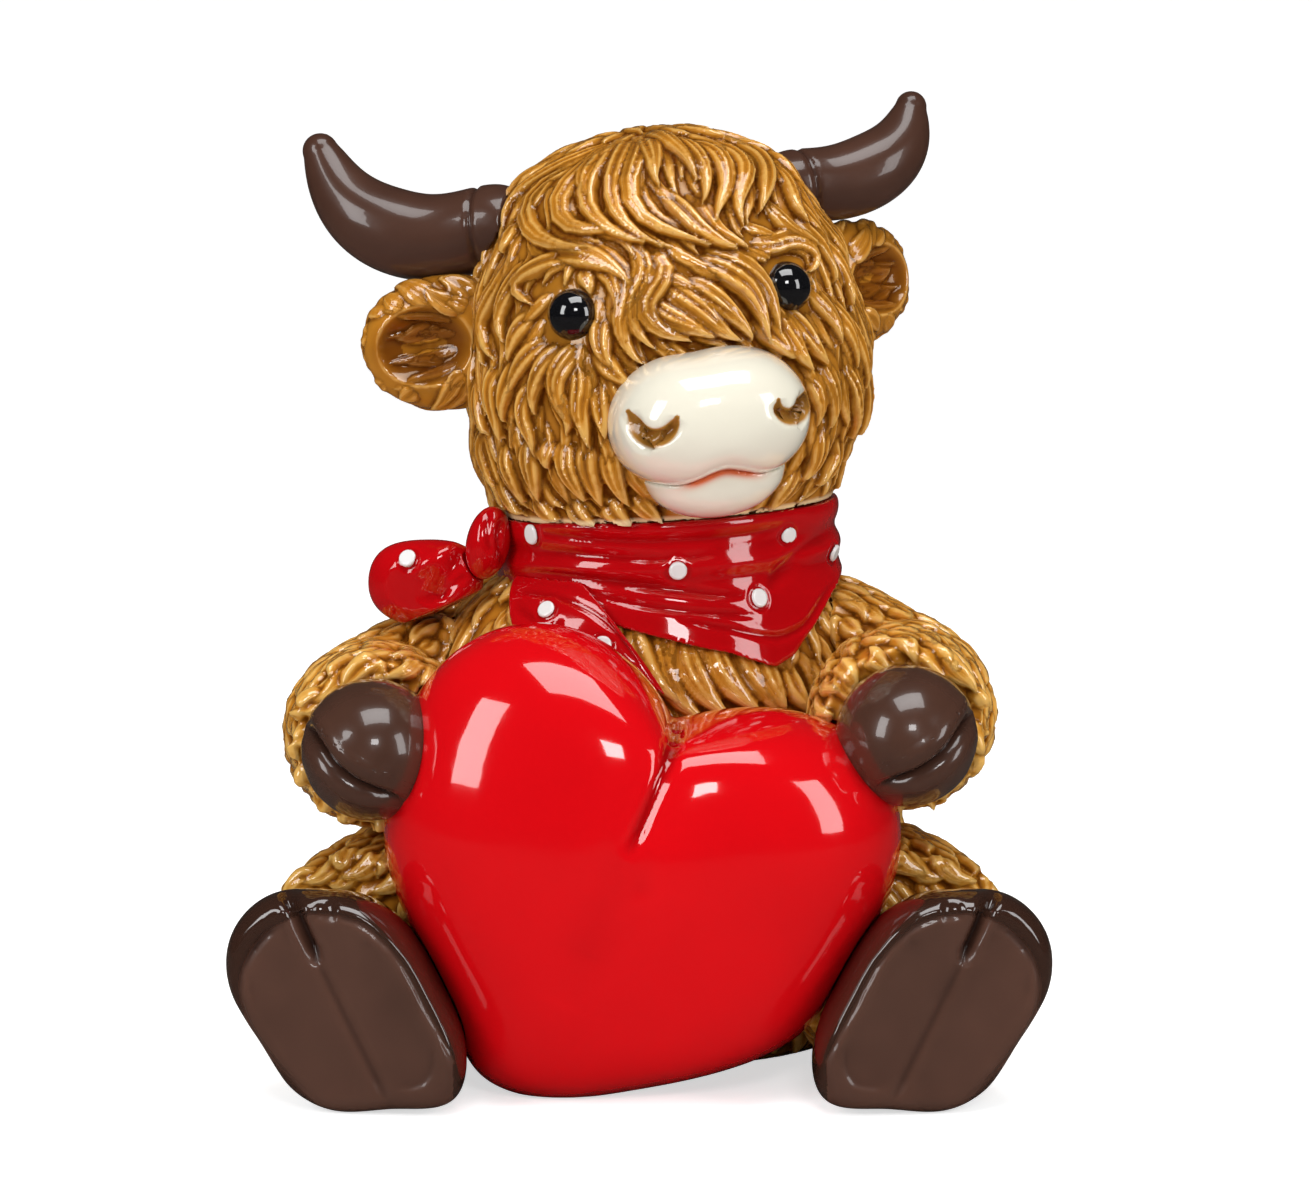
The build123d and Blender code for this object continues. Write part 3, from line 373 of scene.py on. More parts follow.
class JarColours(bpy.types.PropertyGroup):
    """Colours of the glazes."""

    hair_light: bpy.props.FloatVectorProperty(
        name="Hair, on the ridges", description="Glaze where it runs thin over the ridges of the hair",
        subtype="COLOR", size=3, min=0, max=1, default=(0.72, 0.36, 0.062))
    hair_amber: bpy.props.FloatVectorProperty(
        name="Hair, amber", description="Main colour of the glaze on the hair",
        subtype="COLOR", size=3, min=0, max=1, default=(0.53, 0.205, 0.018))
    hair_deep: bpy.props.FloatVectorProperty(
        name="Hair, in the grooves", description="Glaze where it gathers between the locks",
        subtype="COLOR", size=3, min=0, max=1, default=(0.19, 0.050, 0.004))
    horn: bpy.props.FloatVectorProperty(
        name="Horns and hooves", description="Dark brown glaze",
        subtype="COLOR", size=3, min=0, max=1, default=(0.058, 0.025, 0.016))
    red: bpy.props.FloatVectorProperty(
        name="Heart and neckerchief", description="Red glaze",
        subtype="COLOR", size=3, min=0, max=1, default=(0.62, 0.002, 0.005))
    cream: bpy.props.FloatVectorProperty(
        name="Muzzle", description="Cream glaze",
        subtype="COLOR", size=3, min=0, max=1, default=(0.74, 0.70, 0.58))


def sizes():
    """The sizes that the scene holds."""
    return bpy.context.scene.jar_sizes


def colours():
    """The colours that the scene holds."""
    return bpy.context.scene.jar_colours


# Meshes

def new_object(name, mesh):
    """A named object for a mesh, a lamp or a lens, linked to the scene."""
    holder = bpy.data.objects.new(name, mesh)
    bpy.context.scene.collection.objects.link(holder)
    return holder


def shape_of(mesh):
    """A bmesh with a mesh's shape."""
    bm = bmesh.new()
    bm.from_mesh(mesh)
    return bm


def mesh_from(bm, name):
    """A new mesh from a bmesh, which is freed."""
    mesh = bpy.data.meshes.new(name)
    bm.to_mesh(mesh)
    bm.free()
    return mesh


def surface_of(bm):
    """The surface of a bmesh, to be searched; the bmesh is freed."""
    tree = BVHTree.FromBMesh(bm)
    bm.free()
    return tree


def merged_copy(node):
    """A copy of a node's mesh with its loose triangles joined."""
    bm = shape_of(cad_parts[node].data)
    bmesh.ops.remove_doubles(bm, verts=bm.verts, dist=2e-6)
    return bm


def outer_shells(node):
    """A node's copy without the skins of its sealed hollows."""
    bm = merged_copy(node)
    left = set(bm.verts)
    hollow = []
    while left:
        stack = [left.pop()]
        shell = list(stack)
        while stack:
            for edge in stack.pop().link_edges:
                for vert in edge.verts:
                    if vert in left:
                        left.remove(vert)
                        stack.append(vert)
                        shell.append(vert)
        faces = {face for vert in shell for face in vert.link_faces}
        volume = sum(face.calc_center_median().dot(face.normal) * face.calc_area() for face in faces)
        if volume < 0:
            hollow.extend(shell)
    bmesh.ops.delete(bm, geom=hollow, context="VERTS")
    return bm


def drop_faces(bm, dropped):
    """Deletes the faces for which the test of centre and normal is true."""
    faces = [face for face in bm.faces if dropped(face.calc_center_median(), face.normal)]
    bmesh.ops.delete(bm, geom=faces, context="FACES")


def lining(node, inward):
    """A node's inner faces as a mesh of their own."""
    bm = merged_copy(node)
    drop_faces(bm, lambda centre, normal: not inward(centre, normal))
    return mesh_from(bm, f"{node}_lining")


def outer_skin(node, inward):
    """A node's copy without the faces that the test calls inner, closed where they were."""
    bm = merged_copy(node)
    drop_faces(bm, inward)
    bmesh.ops.holes_fill(bm, edges=[edge for edge in bm.edges if edge.is_boundary], sides=0)
    bmesh.ops.triangulate(bm, faces=[face for face in bm.faces if len(face.verts) > 4])
    bmesh.ops.recalc_face_normals(bm, faces=bm.faces)
    return bm


def cut_away(mesh, dropped):
    """Takes the faces away for which the test of centre and normal is true."""
    bm = shape_of(mesh)
    drop_faces(bm, dropped)
    bm.to_mesh(mesh)
    bm.free()


def modified(mesh, name, kind, **settings):
    """What a modifier makes of a mesh."""
    holder = new_object("holder", mesh)
    modifier = holder.modifiers.new(name, kind)
    for key, value in settings.items():
        setattr(modifier, key, value)
    graph = bpy.context.evaluated_depsgraph_get()
    made = bpy.data.meshes.new_from_object(holder.evaluated_get(graph))
    bpy.data.objects.remove(holder)
    return made


def remeshed(bm, grain, name="work"):
    """One even skin round everything in the bmesh."""
    rough = bpy.data.meshes.new("rough")
    bm.to_mesh(rough)
    mesh = modified(rough, "Even", "REMESH", mode="VOXEL", voxel_size=grain * 1.0)
    mesh.name = name
    bpy.data.meshes.remove(rough)
    return mesh


def places_of(mesh):
    """A mesh's points as rows of numbers."""
    rows = np.empty(len(mesh.vertices) * 3)
    mesh.vertices.foreach_get("co", rows)
    return rows.reshape(-1, 3)


def put_places(mesh, rows):
    """Moves a mesh's points."""
    mesh.vertices.foreach_set("co", rows.ravel())
    mesh.update()


def normals_of(mesh):
    """A mesh's point normals as rows of numbers."""
    rows = np.empty(len(mesh.vertices) * 3)
    mesh.vertices.foreach_get("normal", rows)
    return rows.reshape(-1, 3)


def thickened(mesh, by):
    """Moves a mesh's points outwards."""
    put_places(mesh, places_of(mesh) + normals_of(mesh) * by)


def edge_rows(mesh):
    """A mesh's edges as pairs of point numbers."""
    rows = np.empty(len(mesh.edges) * 2, dtype=np.int64)
    mesh.edges.foreach_get("vertices", rows)
    return rows.reshape(-1, 2)


def relaxed(rows, edges, steps, share=0.5):
    """Values at the points, each drawn towards the mean of its neighbours."""
    ends = np.concatenate((edges[:, 0], edges[:, 1]))
    others = np.concatenate((edges[:, 1], edges[:, 0]))
    count = np.maximum(np.bincount(ends, minlength=len(rows)), 1)
    for _ in range(steps):
        mean = np.stack([np.bincount(ends, rows[others, axis], len(rows)) / count
                         for axis in range(rows.shape[1])], axis=1)
        rows = rows + (mean - rows) * share
    return rows


def polish(mesh, steps):
    """Smooths a mesh without drawing it in."""
    rows = places_of(mesh)
    edges = edge_rows(mesh)
    for _ in range(steps):
        rows = relaxed(rows, edges, 1, 0.60)
        rows = relaxed(rows, edges, 1, -0.62)
    put_places(mesh, relaxed(rows, edges, 1, 0.4))


def add_values(mesh, name, values):
    """Stores one number for each point under a name."""
    layer = mesh.attributes.new(name, "FLOAT", "POINT")
    layer.data.foreach_set("value", np.asarray(values, dtype=np.float32))


def add_hollows(mesh, wide=14):
    """Stores how deep each point lies between the locks, and in fine creases, from 0 to 1."""
    rows = places_of(mesh)
    edges = edge_rows(mesh)
    normals = normals_of(mesh)
    near = relaxed(rows, edges, 3)
    far = relaxed(near, edges, wide)
    for name, level, depth in (("hollow", far, 1.6), ("crease", near, 0.16)):
        apart = np.einsum("ij,ij->i", level - rows, normals)
        add_values(mesh, name, np.clip(0.5 + apart / (depth * MM), 0, 1))


def finish_piece(name, mesh, material, body, nodes):
    """Makes a finished mesh a piece that rides on its body and stands for its nodes."""
    mesh.shade_smooth()
    piece = new_object(name, mesh)
    mesh.materials.clear()
    mesh.materials.append(bpy.data.materials[material])
    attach(piece, body)
    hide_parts(*nodes)


def apart_from(tree, rows):
    """How far places lie from a surface, in metres."""
    return np.array([tree.find_nearest(Vector(row))[3] for row in rows])


def seen_on(tree, across, rise):
    """Where the camera's ray through a place on its aim's plane meets a surface, or None."""
    target = AIM + Vector((across * MM, 0.0, 0.0)) + UP * (rise * MM)
    return tree.ray_cast(CAMERA_PLACE, (target - CAMERA_PLACE).normalized())[0]


def on_plane(rows):
    """Where points stand on the aim's plane as the camera sees them, in millimetres."""
    out = rows - np.array(CAMERA_PLACE)
    seen = out * (CAMERA_DISTANCE / (out @ np.array(LOOK)))[:, None] - np.array(LOOK) * CAMERA_DISTANCE
    return np.stack((seen[:, 0], seen @ np.array(UP)), axis=1) / MM


def by_line(spots, line):
    """How far seen places lie from a line, and how far along it from 0 to 1."""
    line = smooth_run([(x, y, 0) for x, y in line], 24)[:, :2]
    step = np.diff(line, axis=0)
    reach = spots[:, None, :] - line[:-1]
    share = np.clip(np.einsum("ijk,jk->ij", reach, step) / np.sum(step ** 2, axis=1), 0, 1)
    apart = np.linalg.norm(reach - share[..., None] * step, axis=2)
    nearest = apart.argmin(axis=1)
    along = (nearest + np.take_along_axis(share, nearest[:, None], 1)[:, 0]) / len(step)
    return apart.min(axis=1), along


def within(spots, outline):
    """True for seen places inside an outline."""
    found = np.zeros(len(spots), dtype=bool)
    for (x, y), (next_x, next_y) in zip(outline, outline[1:] + outline[:1]):
        if y != next_y:
            crossed = (spots[:, 1] > min(y, next_y)) & (spots[:, 1] <= max(y, next_y))
            found ^= crossed & (spots[:, 0] < x + (spots[:, 1] - y) * (next_x - x) / (next_y - y))
    return found


def near_seen(mesh, folds, reach):
    """1 at points near the places where the camera sees the folds, down to 0 beyond the reach."""
    tree = surface_of(shape_of(mesh))
    hits = [seen_on(tree, across, rise) for _, _, fold in folds
            for across, rise, _ in smooth_run([(x, y, 0) for x, y in fold], 16)]
    places = np.array([hit for hit in hits if hit is not None])
    apart = np.array([np.min(np.sum((places - row) ** 2, axis=1)) for row in places_of(mesh)])
    return np.clip((1.6 * reach - np.sqrt(apart) / MM) / (0.6 * reach), 0, 1)


def drawn_in(mesh, line, share):
    """Draws what the camera sees to the right of a line from start to end towards the line."""
    rows = places_of(mesh)
    start, end = (np.array(place) for place in line)
    along = (end - start) / np.linalg.norm(end - start)
    right = np.array((along[1], -along[0]))
    over = np.maximum((on_plane(rows) - start) @ right, 0) * share * MM
    move = over[:, None] * (right[0] * np.array((1.0, 0, 0)) + right[1] * np.array(UP))
    put_places(mesh, rows - move)


def spread(mesh):
    """Widens the neckerchief at the cow's left, draws its corner down and its upper edge up to the head."""
    rows = places_of(mesh)
    rise = (rows - np.array(SEAT.translation)) @ np.array(SEAT.to_3x3())[:, 2] / MM
    rows[:, 2] += SPREAD_UP * MM * np.clip((rise + 5) / 4, 0, 1)
    spots = on_plane(rows)
    wide = (SPREAD_OUT * MM * np.clip((spots[:, 0] - 34) / 16, 0, 1) ** 1.5
            * np.clip((spots[:, 1] + 16) / 10, 0, 1))
    low = SPREAD_DOWN * MM * np.clip((spots[:, 0] - 22) / 14, 0, 1) * np.clip((2 - spots[:, 1]) / 14, 0, 1)
    put_places(mesh, rows + wide[:, None] * np.array((1.0, 0, 0)) - low[:, None] * np.array(UP))


def pressed(mesh, folds, spared=None):
    """Presses folds into the side of a mesh that faces the camera, and none where it is spared."""
    rows = places_of(mesh)
    normals = normals_of(mesh)
    spots = on_plane(rows)
    facing = np.clip(-(normals @ np.array(LOOK)) * 2.5, 0, 1)
    moves = np.zeros(len(rows))
    for depth, width, fold in folds:
        apart, along = by_line(spots, fold)
        moves -= depth * MM * np.clip(7 * along * (1 - along), 0, 1) * np.exp(-(apart / width) ** 2)
    if spared is not None:
        moves = moves * spared(rows)
    put_places(mesh, rows + normals * (moves * facing)[:, None])


def filled(mesh, middle, reach, steps):
    """Lets the surface close over a cleft that the camera sees: points only move outwards."""
    rows = places_of(mesh)
    edges = edge_rows(mesh)
    out = rows - (rows.min(axis=0) + rows.max(axis=0)) / 2
    out /= np.linalg.norm(out, axis=1, keepdims=True)
    near = np.clip((reach - np.linalg.norm(on_plane(rows) - middle, axis=1)) / 2, 0, 1)
    near = near * (out @ np.array(LOOK) < 0.1)
    for _ in range(steps):
        move = relaxed(rows, edges, 1, 0.8) - rows
        rows = rows + move * (near * (np.einsum("ij,ij->i", move, out) > 0))[:, None]
    put_places(mesh, relaxed(rows, edges, 2))


# Hair

def bent(blank, points, normals, width, height, strands, phase, stand):
    """The blank's points bent along a run over a surface, with ridges, a low root and a thin tip."""
    run = (blank[:, 2] + 1) / 2
    girth = np.sqrt(np.maximum(1 - blank[:, 2] ** 2, 1e-9))
    side_share = np.where(girth > 1e-4, blank[:, 0] / girth, 0)
    top_share = np.where(girth > 1e-4, blank[:, 1] / girth, 0)
    run = run ** 0.9
    marks = np.linspace(0, 1, len(points))

    def along(values):
        return np.stack([np.interp(run, marks, values[:, axis]) for axis in range(3)], axis=1)

    centre = along(points)
    normal = along(normals)
    side = np.cross(along(np.gradient(points, axis=0)), normal)
    side /= np.linalg.norm(side, axis=1, keepdims=True) + 1e-12
    swell = np.sin(math.pi * np.clip(run, 0, 1) ** 0.62) ** 0.9
    ridge = 0.56 + 0.44 * np.abs(np.sin(math.pi * (strands * (side_share + 1) / 2 + phase * 0.15)))
    upper = np.maximum(top_share, 0) ** 0.75 * height * swell ** 0.75 * ridge
    lower = np.minimum(top_share, 0) * height * 0.9
    lift = height * (stand * run ** 1.5 - 0.55 * (1 - run) ** 2)
    return (centre + side * (side_share * swell * width / 2)[:, None]
            + normal * (upper + lower + lift)[:, None])


def smooth_run(points, count):
    """Evenly spaced points on a rounded line through the given ones."""
    points = np.asarray(points, dtype=float)
    for _ in range(2):
        inner = [points[0]]
        for start, end in zip(points[:-1], points[1:]):
            inner += [start * 0.75 + end * 0.25, start * 0.25 + end * 0.75]
        inner.append(points[-1])
        points = np.array(inner)
    steps = np.concatenate(([0], np.cumsum(np.linalg.norm(np.diff(points, axis=0), axis=1))))
    marks = np.linspace(0, steps[-1], count)
    return np.stack([np.interp(marks, steps, points[:, axis]) for axis in range(3)], axis=1)


def laid(tree, run):
    """A run's points and normals where it lies on a surface."""
    found = [tree.find_nearest(Vector(place)) for place in run]
    normals = np.array([normal for _, normal, _, _ in found])
    for _ in range(2):
        normals[1:-1] = (normals[:-2] + normals[1:-1] + normals[2:]) / 3
    return (np.array([point for point, _, _, _ in found]),
            normals / np.linalg.norm(normals, axis=1, keepdims=True))


def drawn_runs(tree, locks):
    """The locks that the picture shows, laid on the surface."""
    runs = []
    for lock in locks:
        hits = [seen_on(tree, across, rise) for across, rise in lock]
        hits = [hit for hit in hits if hit is not None]
        if len(hits) > 1:
            runs.append(laid(tree, smooth_run(hits, 12)))
    return runs


class Flow:
    """The direction that the hair takes at a place, from the guides near it."""

    def __init__(self, places, ways):
        self.places = np.array(places)
        self.ways = np.array(ways)
        self.ways /= np.linalg.norm(self.ways, axis=1, keepdims=True) + 1e-12

    def at(self, place):
        """The mean way of the guides, the nearest of them first."""
        apart = np.sum((self.places - np.array(place)) ** 2, axis=1)
        weight = 1 / (apart + 1e-5) ** 2
        return Vector((weight @ self.ways) / weight.sum())


def flow_over(tree, runs, guides):
    """The flow along drawn runs and along guides of place and way, which are laid on the surface."""
    places = []
    ways = []
    for points, _ in runs:
        steps = np.gradient(points, axis=0)
        places.extend(points[::2])
        ways.extend(steps[::2] / (np.linalg.norm(steps[::2], axis=1, keepdims=True) + 1e-12))
    for place, way in guides:
        point, normal, _, _ = tree.find_nearest(place)
        places.append(point)
        ways.append(way - normal * way.dot(normal))
    return Flow(places, ways)


def grown_run(tree, flow, start, length, bend, phase, blocked, count=10):
    """A run through the start that follows the flow both ways, swinging from side to side."""
    step = length / (count - 1)
    joined = []
    for sense in (-1, 1):
        place = Vector(start)
        joined.reverse()
        for index in range(count // 2):
            point, normal, _, _ = tree.find_nearest(place)
            if blocked(point):
                break
            if index or sense < 0:
                joined.append((point, normal))
            way = flow.at(point)
            way = way - normal * way.dot(normal)
            if way.length < 1e-6:
                break
            way.normalize()
            turn = bend * math.sin(2 * math.pi * (0.5 + sense * index / (count - 1)) + phase)
            way.rotate(Matrix.Rotation(turn, 3, normal))
            place = point + way * step * sense
    if len(joined) < 4:
        return None
    return np.array([point for point, _ in joined]), np.array([normal for _, normal in joined])


def scattered(bm, spacing, dice, blocked):
    """Places spread over a surface, none nearer to another than the spacing."""
    faces = list(bm.faces)
    areas = np.array([face.calc_area() for face in faces])
    tries = int(areas.sum() / spacing ** 2 * 6)
    cells = {}
    kept = []
    for pick in dice.choices(range(len(faces)), weights=areas, k=tries):
        corners = [vert.co for vert in faces[pick].verts]
        a, b = dice.random(), dice.random()
        if a + b > 1:
            a, b = 1 - a, 1 - b
        place = corners[0] + (corners[1] - corners[0]) * a + (corners[-1] - corners[0]) * b
        if blocked(place):
            continue
        cell = tuple(int(math.floor(value / spacing)) for value in place)
        around = [other for dx in (-1, 0, 1) for dy in (-1, 0, 1) for dz in (-1, 0, 1)
                  for other in cells.get((cell[0] + dx, cell[1] + dy, cell[2] + dz), ())]
        if all((other - place).length > spacing for other in around):
            cells.setdefault(cell, []).append(place)
            kept.append(place)
    return kept


def hair_mesh(base, locks, grain, name):
    """One skin over a base and its locks, which remembers how each lock runs; the base is freed."""
    ball = bmesh.new()
    bmesh.ops.create_uvsphere(ball, u_segments=24, v_segments=15, radius=1.0)
    blank_mesh = mesh_from(ball, "blank")
    blank = places_of(blank_mesh)
    mesh = modified(blank_mesh, "Repeat", "ARRAY", count=len(locks), use_relative_offset=False)
    put_places(mesh, np.concatenate([bent(blank, *lock) for lock in locks]))
    shares = blank[:, 0] / np.sqrt(np.maximum(1 - blank[:, 2] ** 2, 1e-4))
    add_values(mesh, "across", np.concatenate([shares * lock.width / 2 / MM + 17.3 * (index % 29)
                                               for index, lock in enumerate(locks)]))
    add_values(mesh, "along", np.tile((blank[:, 2] + 1) / 2, len(locks)))
    bm = shape_of(mesh)
    layers = [bm.verts.layers.float[label] for label in ("across", "along")]
    for vert in bm.verts:
        vert[layers[1]] += 1.0
    plain = mesh_from(base, "base")
    bm.from_mesh(plain)
    skin = remeshed(bm, grain, name)
    tree = BVHTree.FromBMesh(bm)
    bm.faces.ensure_lookup_table()
    found = np.zeros((2, len(skin.vertices)))
    for vert in skin.vertices:
        point, _, number, _ = tree.find_nearest(vert.co)
        corners = bm.faces[number].verts
        weights = poly_3d_calc([corner.co for corner in corners], point)
        for row, layer in zip(found, layers):
            row[vert.index] = sum(weight * corner[layer] for weight, corner in zip(weights, corners))
    bm.free()
    put_places(skin, relaxed(places_of(skin), edge_rows(skin), 2, 0.45))
    add_values(skin, "across", found[0])
    add_values(skin, "along", found[1])
    add_hollows(skin)
    for spare in (mesh, blank_mesh, plain):
        bpy.data.meshes.remove(spare)
    return skin


# Materials

def new_group(name, inputs, outputs):
    """A shader node group with named sockets, and the nodes where they come in and go out."""
    group = bpy.data.node_groups.new(name, "ShaderNodeTree")
    for label, kind, default in inputs:
        socket = group.interface.new_socket(label, in_out="INPUT", socket_type=kind)
        socket.default_value = default
    for label in outputs:
        group.interface.new_socket(label, in_out="OUTPUT", socket_type="NodeSocketFloat")
    return group, group.nodes.new("NodeGroupInput"), group.nodes.new("NodeGroupOutput")


def feed(tree, socket, value):
    """Gives an input a value or a colour, or links it to the output that the value is."""
    if isinstance(value, bpy.types.NodeSocket):
        tree.links.new(value, socket)
    else:
        socket.default_value = (*value, 1) if isinstance(value, tuple) else value


def node_in(tree, kind, values=(), **settings):
    """A node with its settings and what its inputs get."""
    node = tree.nodes.new(kind)
    for key, value in settings.items():
        setattr(node, key, value)
    for socket, value in values:
        feed(tree, node.inputs[socket], value)
    return node


def sum_in(tree, operation, *values):
    """What a Math node makes of its inputs."""
    return node_in(tree, "ShaderNodeMath", list(enumerate(values)), operation=operation).outputs[0]


def ramp_in(tree, value, stops):
    """The colour that a value picks from a ramp through stops of place and colour."""
    node = node_in(tree, "ShaderNodeValToRGB", [("Fac", value)])
    elements = node.color_ramp.elements
    while len(elements) < len(stops):
        elements.new(0.5)
    for element, (place, colour) in zip(elements, stops):
        element.position = place
        element.color = (*colour, 1)
    return node.outputs["Color"]


def range_in(tree, value, start, end):
    """A value carried over from one range to another: start and end are pairs of before and after."""
    return node_in(tree, "ShaderNodeMapRange", [
        ("Value", value), ("From Min", start[0]), ("To Min", start[1]),
        ("From Max", end[0]), ("To Max", end[1])]).outputs[0]


def mix_in(tree, share, first, second, blend="MIX"):
    """Mixes two colours."""
    return node_in(tree, "ShaderNodeMix", data_type="RGBA", blend_type=blend,
                   values=[(0, share), (6, first), (7, second)]).outputs[2]


def toned(colour, level):
    """A colour made lighter or darker."""
    return tuple(min(1.0, channel * level) for channel in colour)


def strand_group():
    """Fine strands along the locks."""
    group, entry, leave = new_group(
        "Strands", [("Across", "NodeSocketFloat", 0.0), ("Along", "NodeSocketFloat", 0.0),
                    ("Fineness", "NodeSocketFloat", 1.0)], ("Strands",))
    wide = sum_in(group, "MULTIPLY", entry.outputs["Across"], entry.outputs["Fineness"])
    place = node_in(group, "ShaderNodeCombineXYZ", [(0, wide), (1, entry.outputs["Along"])])
    noise = node_in(group, "ShaderNodeTexNoise", [
        ("Vector", place.outputs[0]), ("Scale", 1.0), ("Detail", 3.0), ("Roughness", 0.6)])
    feed(group, leave.inputs["Strands"], noise.outputs["Fac"])


def cloud_group():
    """Slow clouds and a small ripple, as a fired glaze has."""
    group, entry, leave = new_group(
        "Glaze clouds", [("Place", "NodeSocketVector", (0, 0, 0)), ("Size", "NodeSocketFloat", 60.0)],
        ("Clouds", "Ripple"))
    place = ("Vector", entry.outputs["Place"])
    slow = node_in(group, "ShaderNodeTexNoise", [
        place, ("Scale", entry.outputs["Size"]), ("Detail", 2.0), ("Roughness", 0.5)])
    ripple = node_in(group, "ShaderNodeTexNoise", [place, ("Scale", 130.0), ("Detail", 1.0)])
    feed(group, leave.inputs["Clouds"], slow.outputs["Fac"])
    feed(group, leave.inputs["Ripple"], ripple.outputs["Fac"])


def new_material(name):
    """A material with its Principled shader."""
    material = bpy.data.materials.new(name)
    material.use_nodes = True
    return material, material.node_tree, material.node_tree.nodes["Principled BSDF"]


def attribute_in(tree, name):
    """The value that the points hold under a name."""
    return node_in(tree, "ShaderNodeAttribute", attribute_name=name).outputs["Fac"]


def group_in(tree, group, values):
    """The outputs of a group placed in a material."""
    return node_in(tree, "ShaderNodeGroup", values, node_tree=bpy.data.node_groups[group]).outputs


def clouds_in(tree, size):
    """The glaze's clouds and ripple at a place on the object."""
    place = tree.nodes.new("ShaderNodeTexCoord").outputs["Object"]
    return group_in(tree, "Glaze clouds", [("Size", size), ("Place", place)])


def bump_in(tree, shader, height, strength, distance):
    """Bumps the shader's surface by a height."""
    bump = node_in(tree, "ShaderNodeBump", [
        ("Strength", strength), ("Distance", distance), ("Height", height)])
    feed(tree, shader.inputs["Normal"], bump.outputs[0])


def gloss(shader, roughness, coat, coat_roughness=0.03, specular=0.5):
    """Sets the shine of a glaze."""
    for socket, value in (("Roughness", roughness), ("Coat Weight", coat),
                          ("Coat Roughness", coat_roughness), ("Specular IOR Level", specular)):
        shader.inputs[socket].default_value = value


def hair_glaze(name, level):
    """Amber glaze that is thin on the ridges and gathers dark in the grooves, with painted shade in the ears'
    hollows; the level lightens it.
    """
    _, tree, shader = new_material(name)
    hue = colours()
    hollow = attribute_in(tree, "hollow")
    crease = attribute_in(tree, "crease")
    strands = group_in(tree, "Strands", [
        ("Fineness", 0.9), ("Across", attribute_in(tree, "across")),
        ("Along", attribute_in(tree, "along"))])["Strands"]
    depth = sum_in(tree, "MULTIPLY_ADD", strands, 0.40, hollow)
    depth = sum_in(tree, "MULTIPLY_ADD", clouds_in(tree, 55.0)["Clouds"], 0.45, depth)
    colour = ramp_in(tree, sum_in(tree, "SUBTRACT", depth, level), [
        (0.10, hue.hair_light), (0.36, hue.hair_amber),
        (0.62, toned(hue.hair_amber, 0.52)), (0.92, hue.hair_deep)])
    dark = ramp_in(tree, crease, [(0.5, WHITE), (0.95, (0.58, 0.42, 0.33))])
    colour = mix_in(tree, 0.9, colour, dark, "MULTIPLY")
    thin = range_in(tree, crease, (0.36, 0.0), (0.05, 0.5))
    colour = mix_in(tree, thin, colour, (0.90, 0.55, 0.16))
    # Painted shade: the hair is darkened inside the ears' hollows
    colour = mix_in(tree, attribute_in(tree, "bowl"), colour, (0.40, 0.27, 0.20), "MULTIPLY")
    colour = mix_in(tree, attribute_in(tree, "edge"), colour, (0.82, 0.62, 0.34))
    feed(tree, shader.inputs["Base Color"], colour)
    bump_in(tree, shader, strands, 0.8, 0.0007)
    gloss(shader, 0.15, 0.4, 0.035)
    shader.inputs["Specular Tint"].default_value = (1.0, 0.72, 0.36, 1.0)
    shader.inputs["Coat IOR"].default_value = 1.8
    feed(tree, shader.inputs["Coat Weight"], range_in(tree, hollow, (0.36, 0.85), (0.66, 0.0)))
    feed(tree, shader.inputs["Specular IOR Level"], range_in(tree, hollow, (0.35, 0.55), (0.75, 0.06)))


def red_glaze(name, depth):
    """Red glaze, a little darker where it gathers."""
    _, tree, shader = new_material(name)
    red = toned(colours().red, depth)
    clouds = clouds_in(tree, 22.0)
    colour = mix_in(tree, clouds["Clouds"], toned(red, 0.90), toned(red, 1.10))
    dark = ramp_in(tree, attribute_in(tree, "hollow"), [(0.45, WHITE), (0.95, (0.45, 0.30, 0.30))])
    feed(tree, shader.inputs["Base Color"], mix_in(tree, 1.0, colour, dark, "MULTIPLY"))
    bump_in(tree, shader, clouds["Ripple"], 0.12, 0.0006)
    gloss(shader, 0.10, 1.0, 0.02, 0.2)


def brown_glaze(name, roughness, coat, lift=1.0):
    """Dark brown glaze with a faint warm bloom, darker and shinier on its band."""
    _, tree, shader = new_material(name)
    brown = toned(colours().horn, lift)
    clouds = clouds_in(tree, 45.0)
    colour = mix_in(tree, clouds["Clouds"], toned(brown, 0.75), toned(brown, 1.35))
    dark = ramp_in(tree, attribute_in(tree, "hollow"), [(0.48, WHITE), (0.9, (0.35, 0.30, 0.30))])
    colour = mix_in(tree, 1.0, colour, dark, "MULTIPLY")
    band = attribute_in(tree, "band")
    feed(tree, shader.inputs["Base Color"], mix_in(tree, band, colour, toned(brown, 0.45)))
    bump_in(tree, shader, clouds["Ripple"], 0.15, 0.0008)
    gloss(shader, roughness, coat, 0.05, 0.25)
    feed(tree, shader.inputs["Roughness"], range_in(tree, band, (0.0, roughness), (1.0, 0.12)))
    feed(tree, shader.inputs["Coat Weight"], range_in(tree, band, (0.0, coat), (1.0, 1.0)))


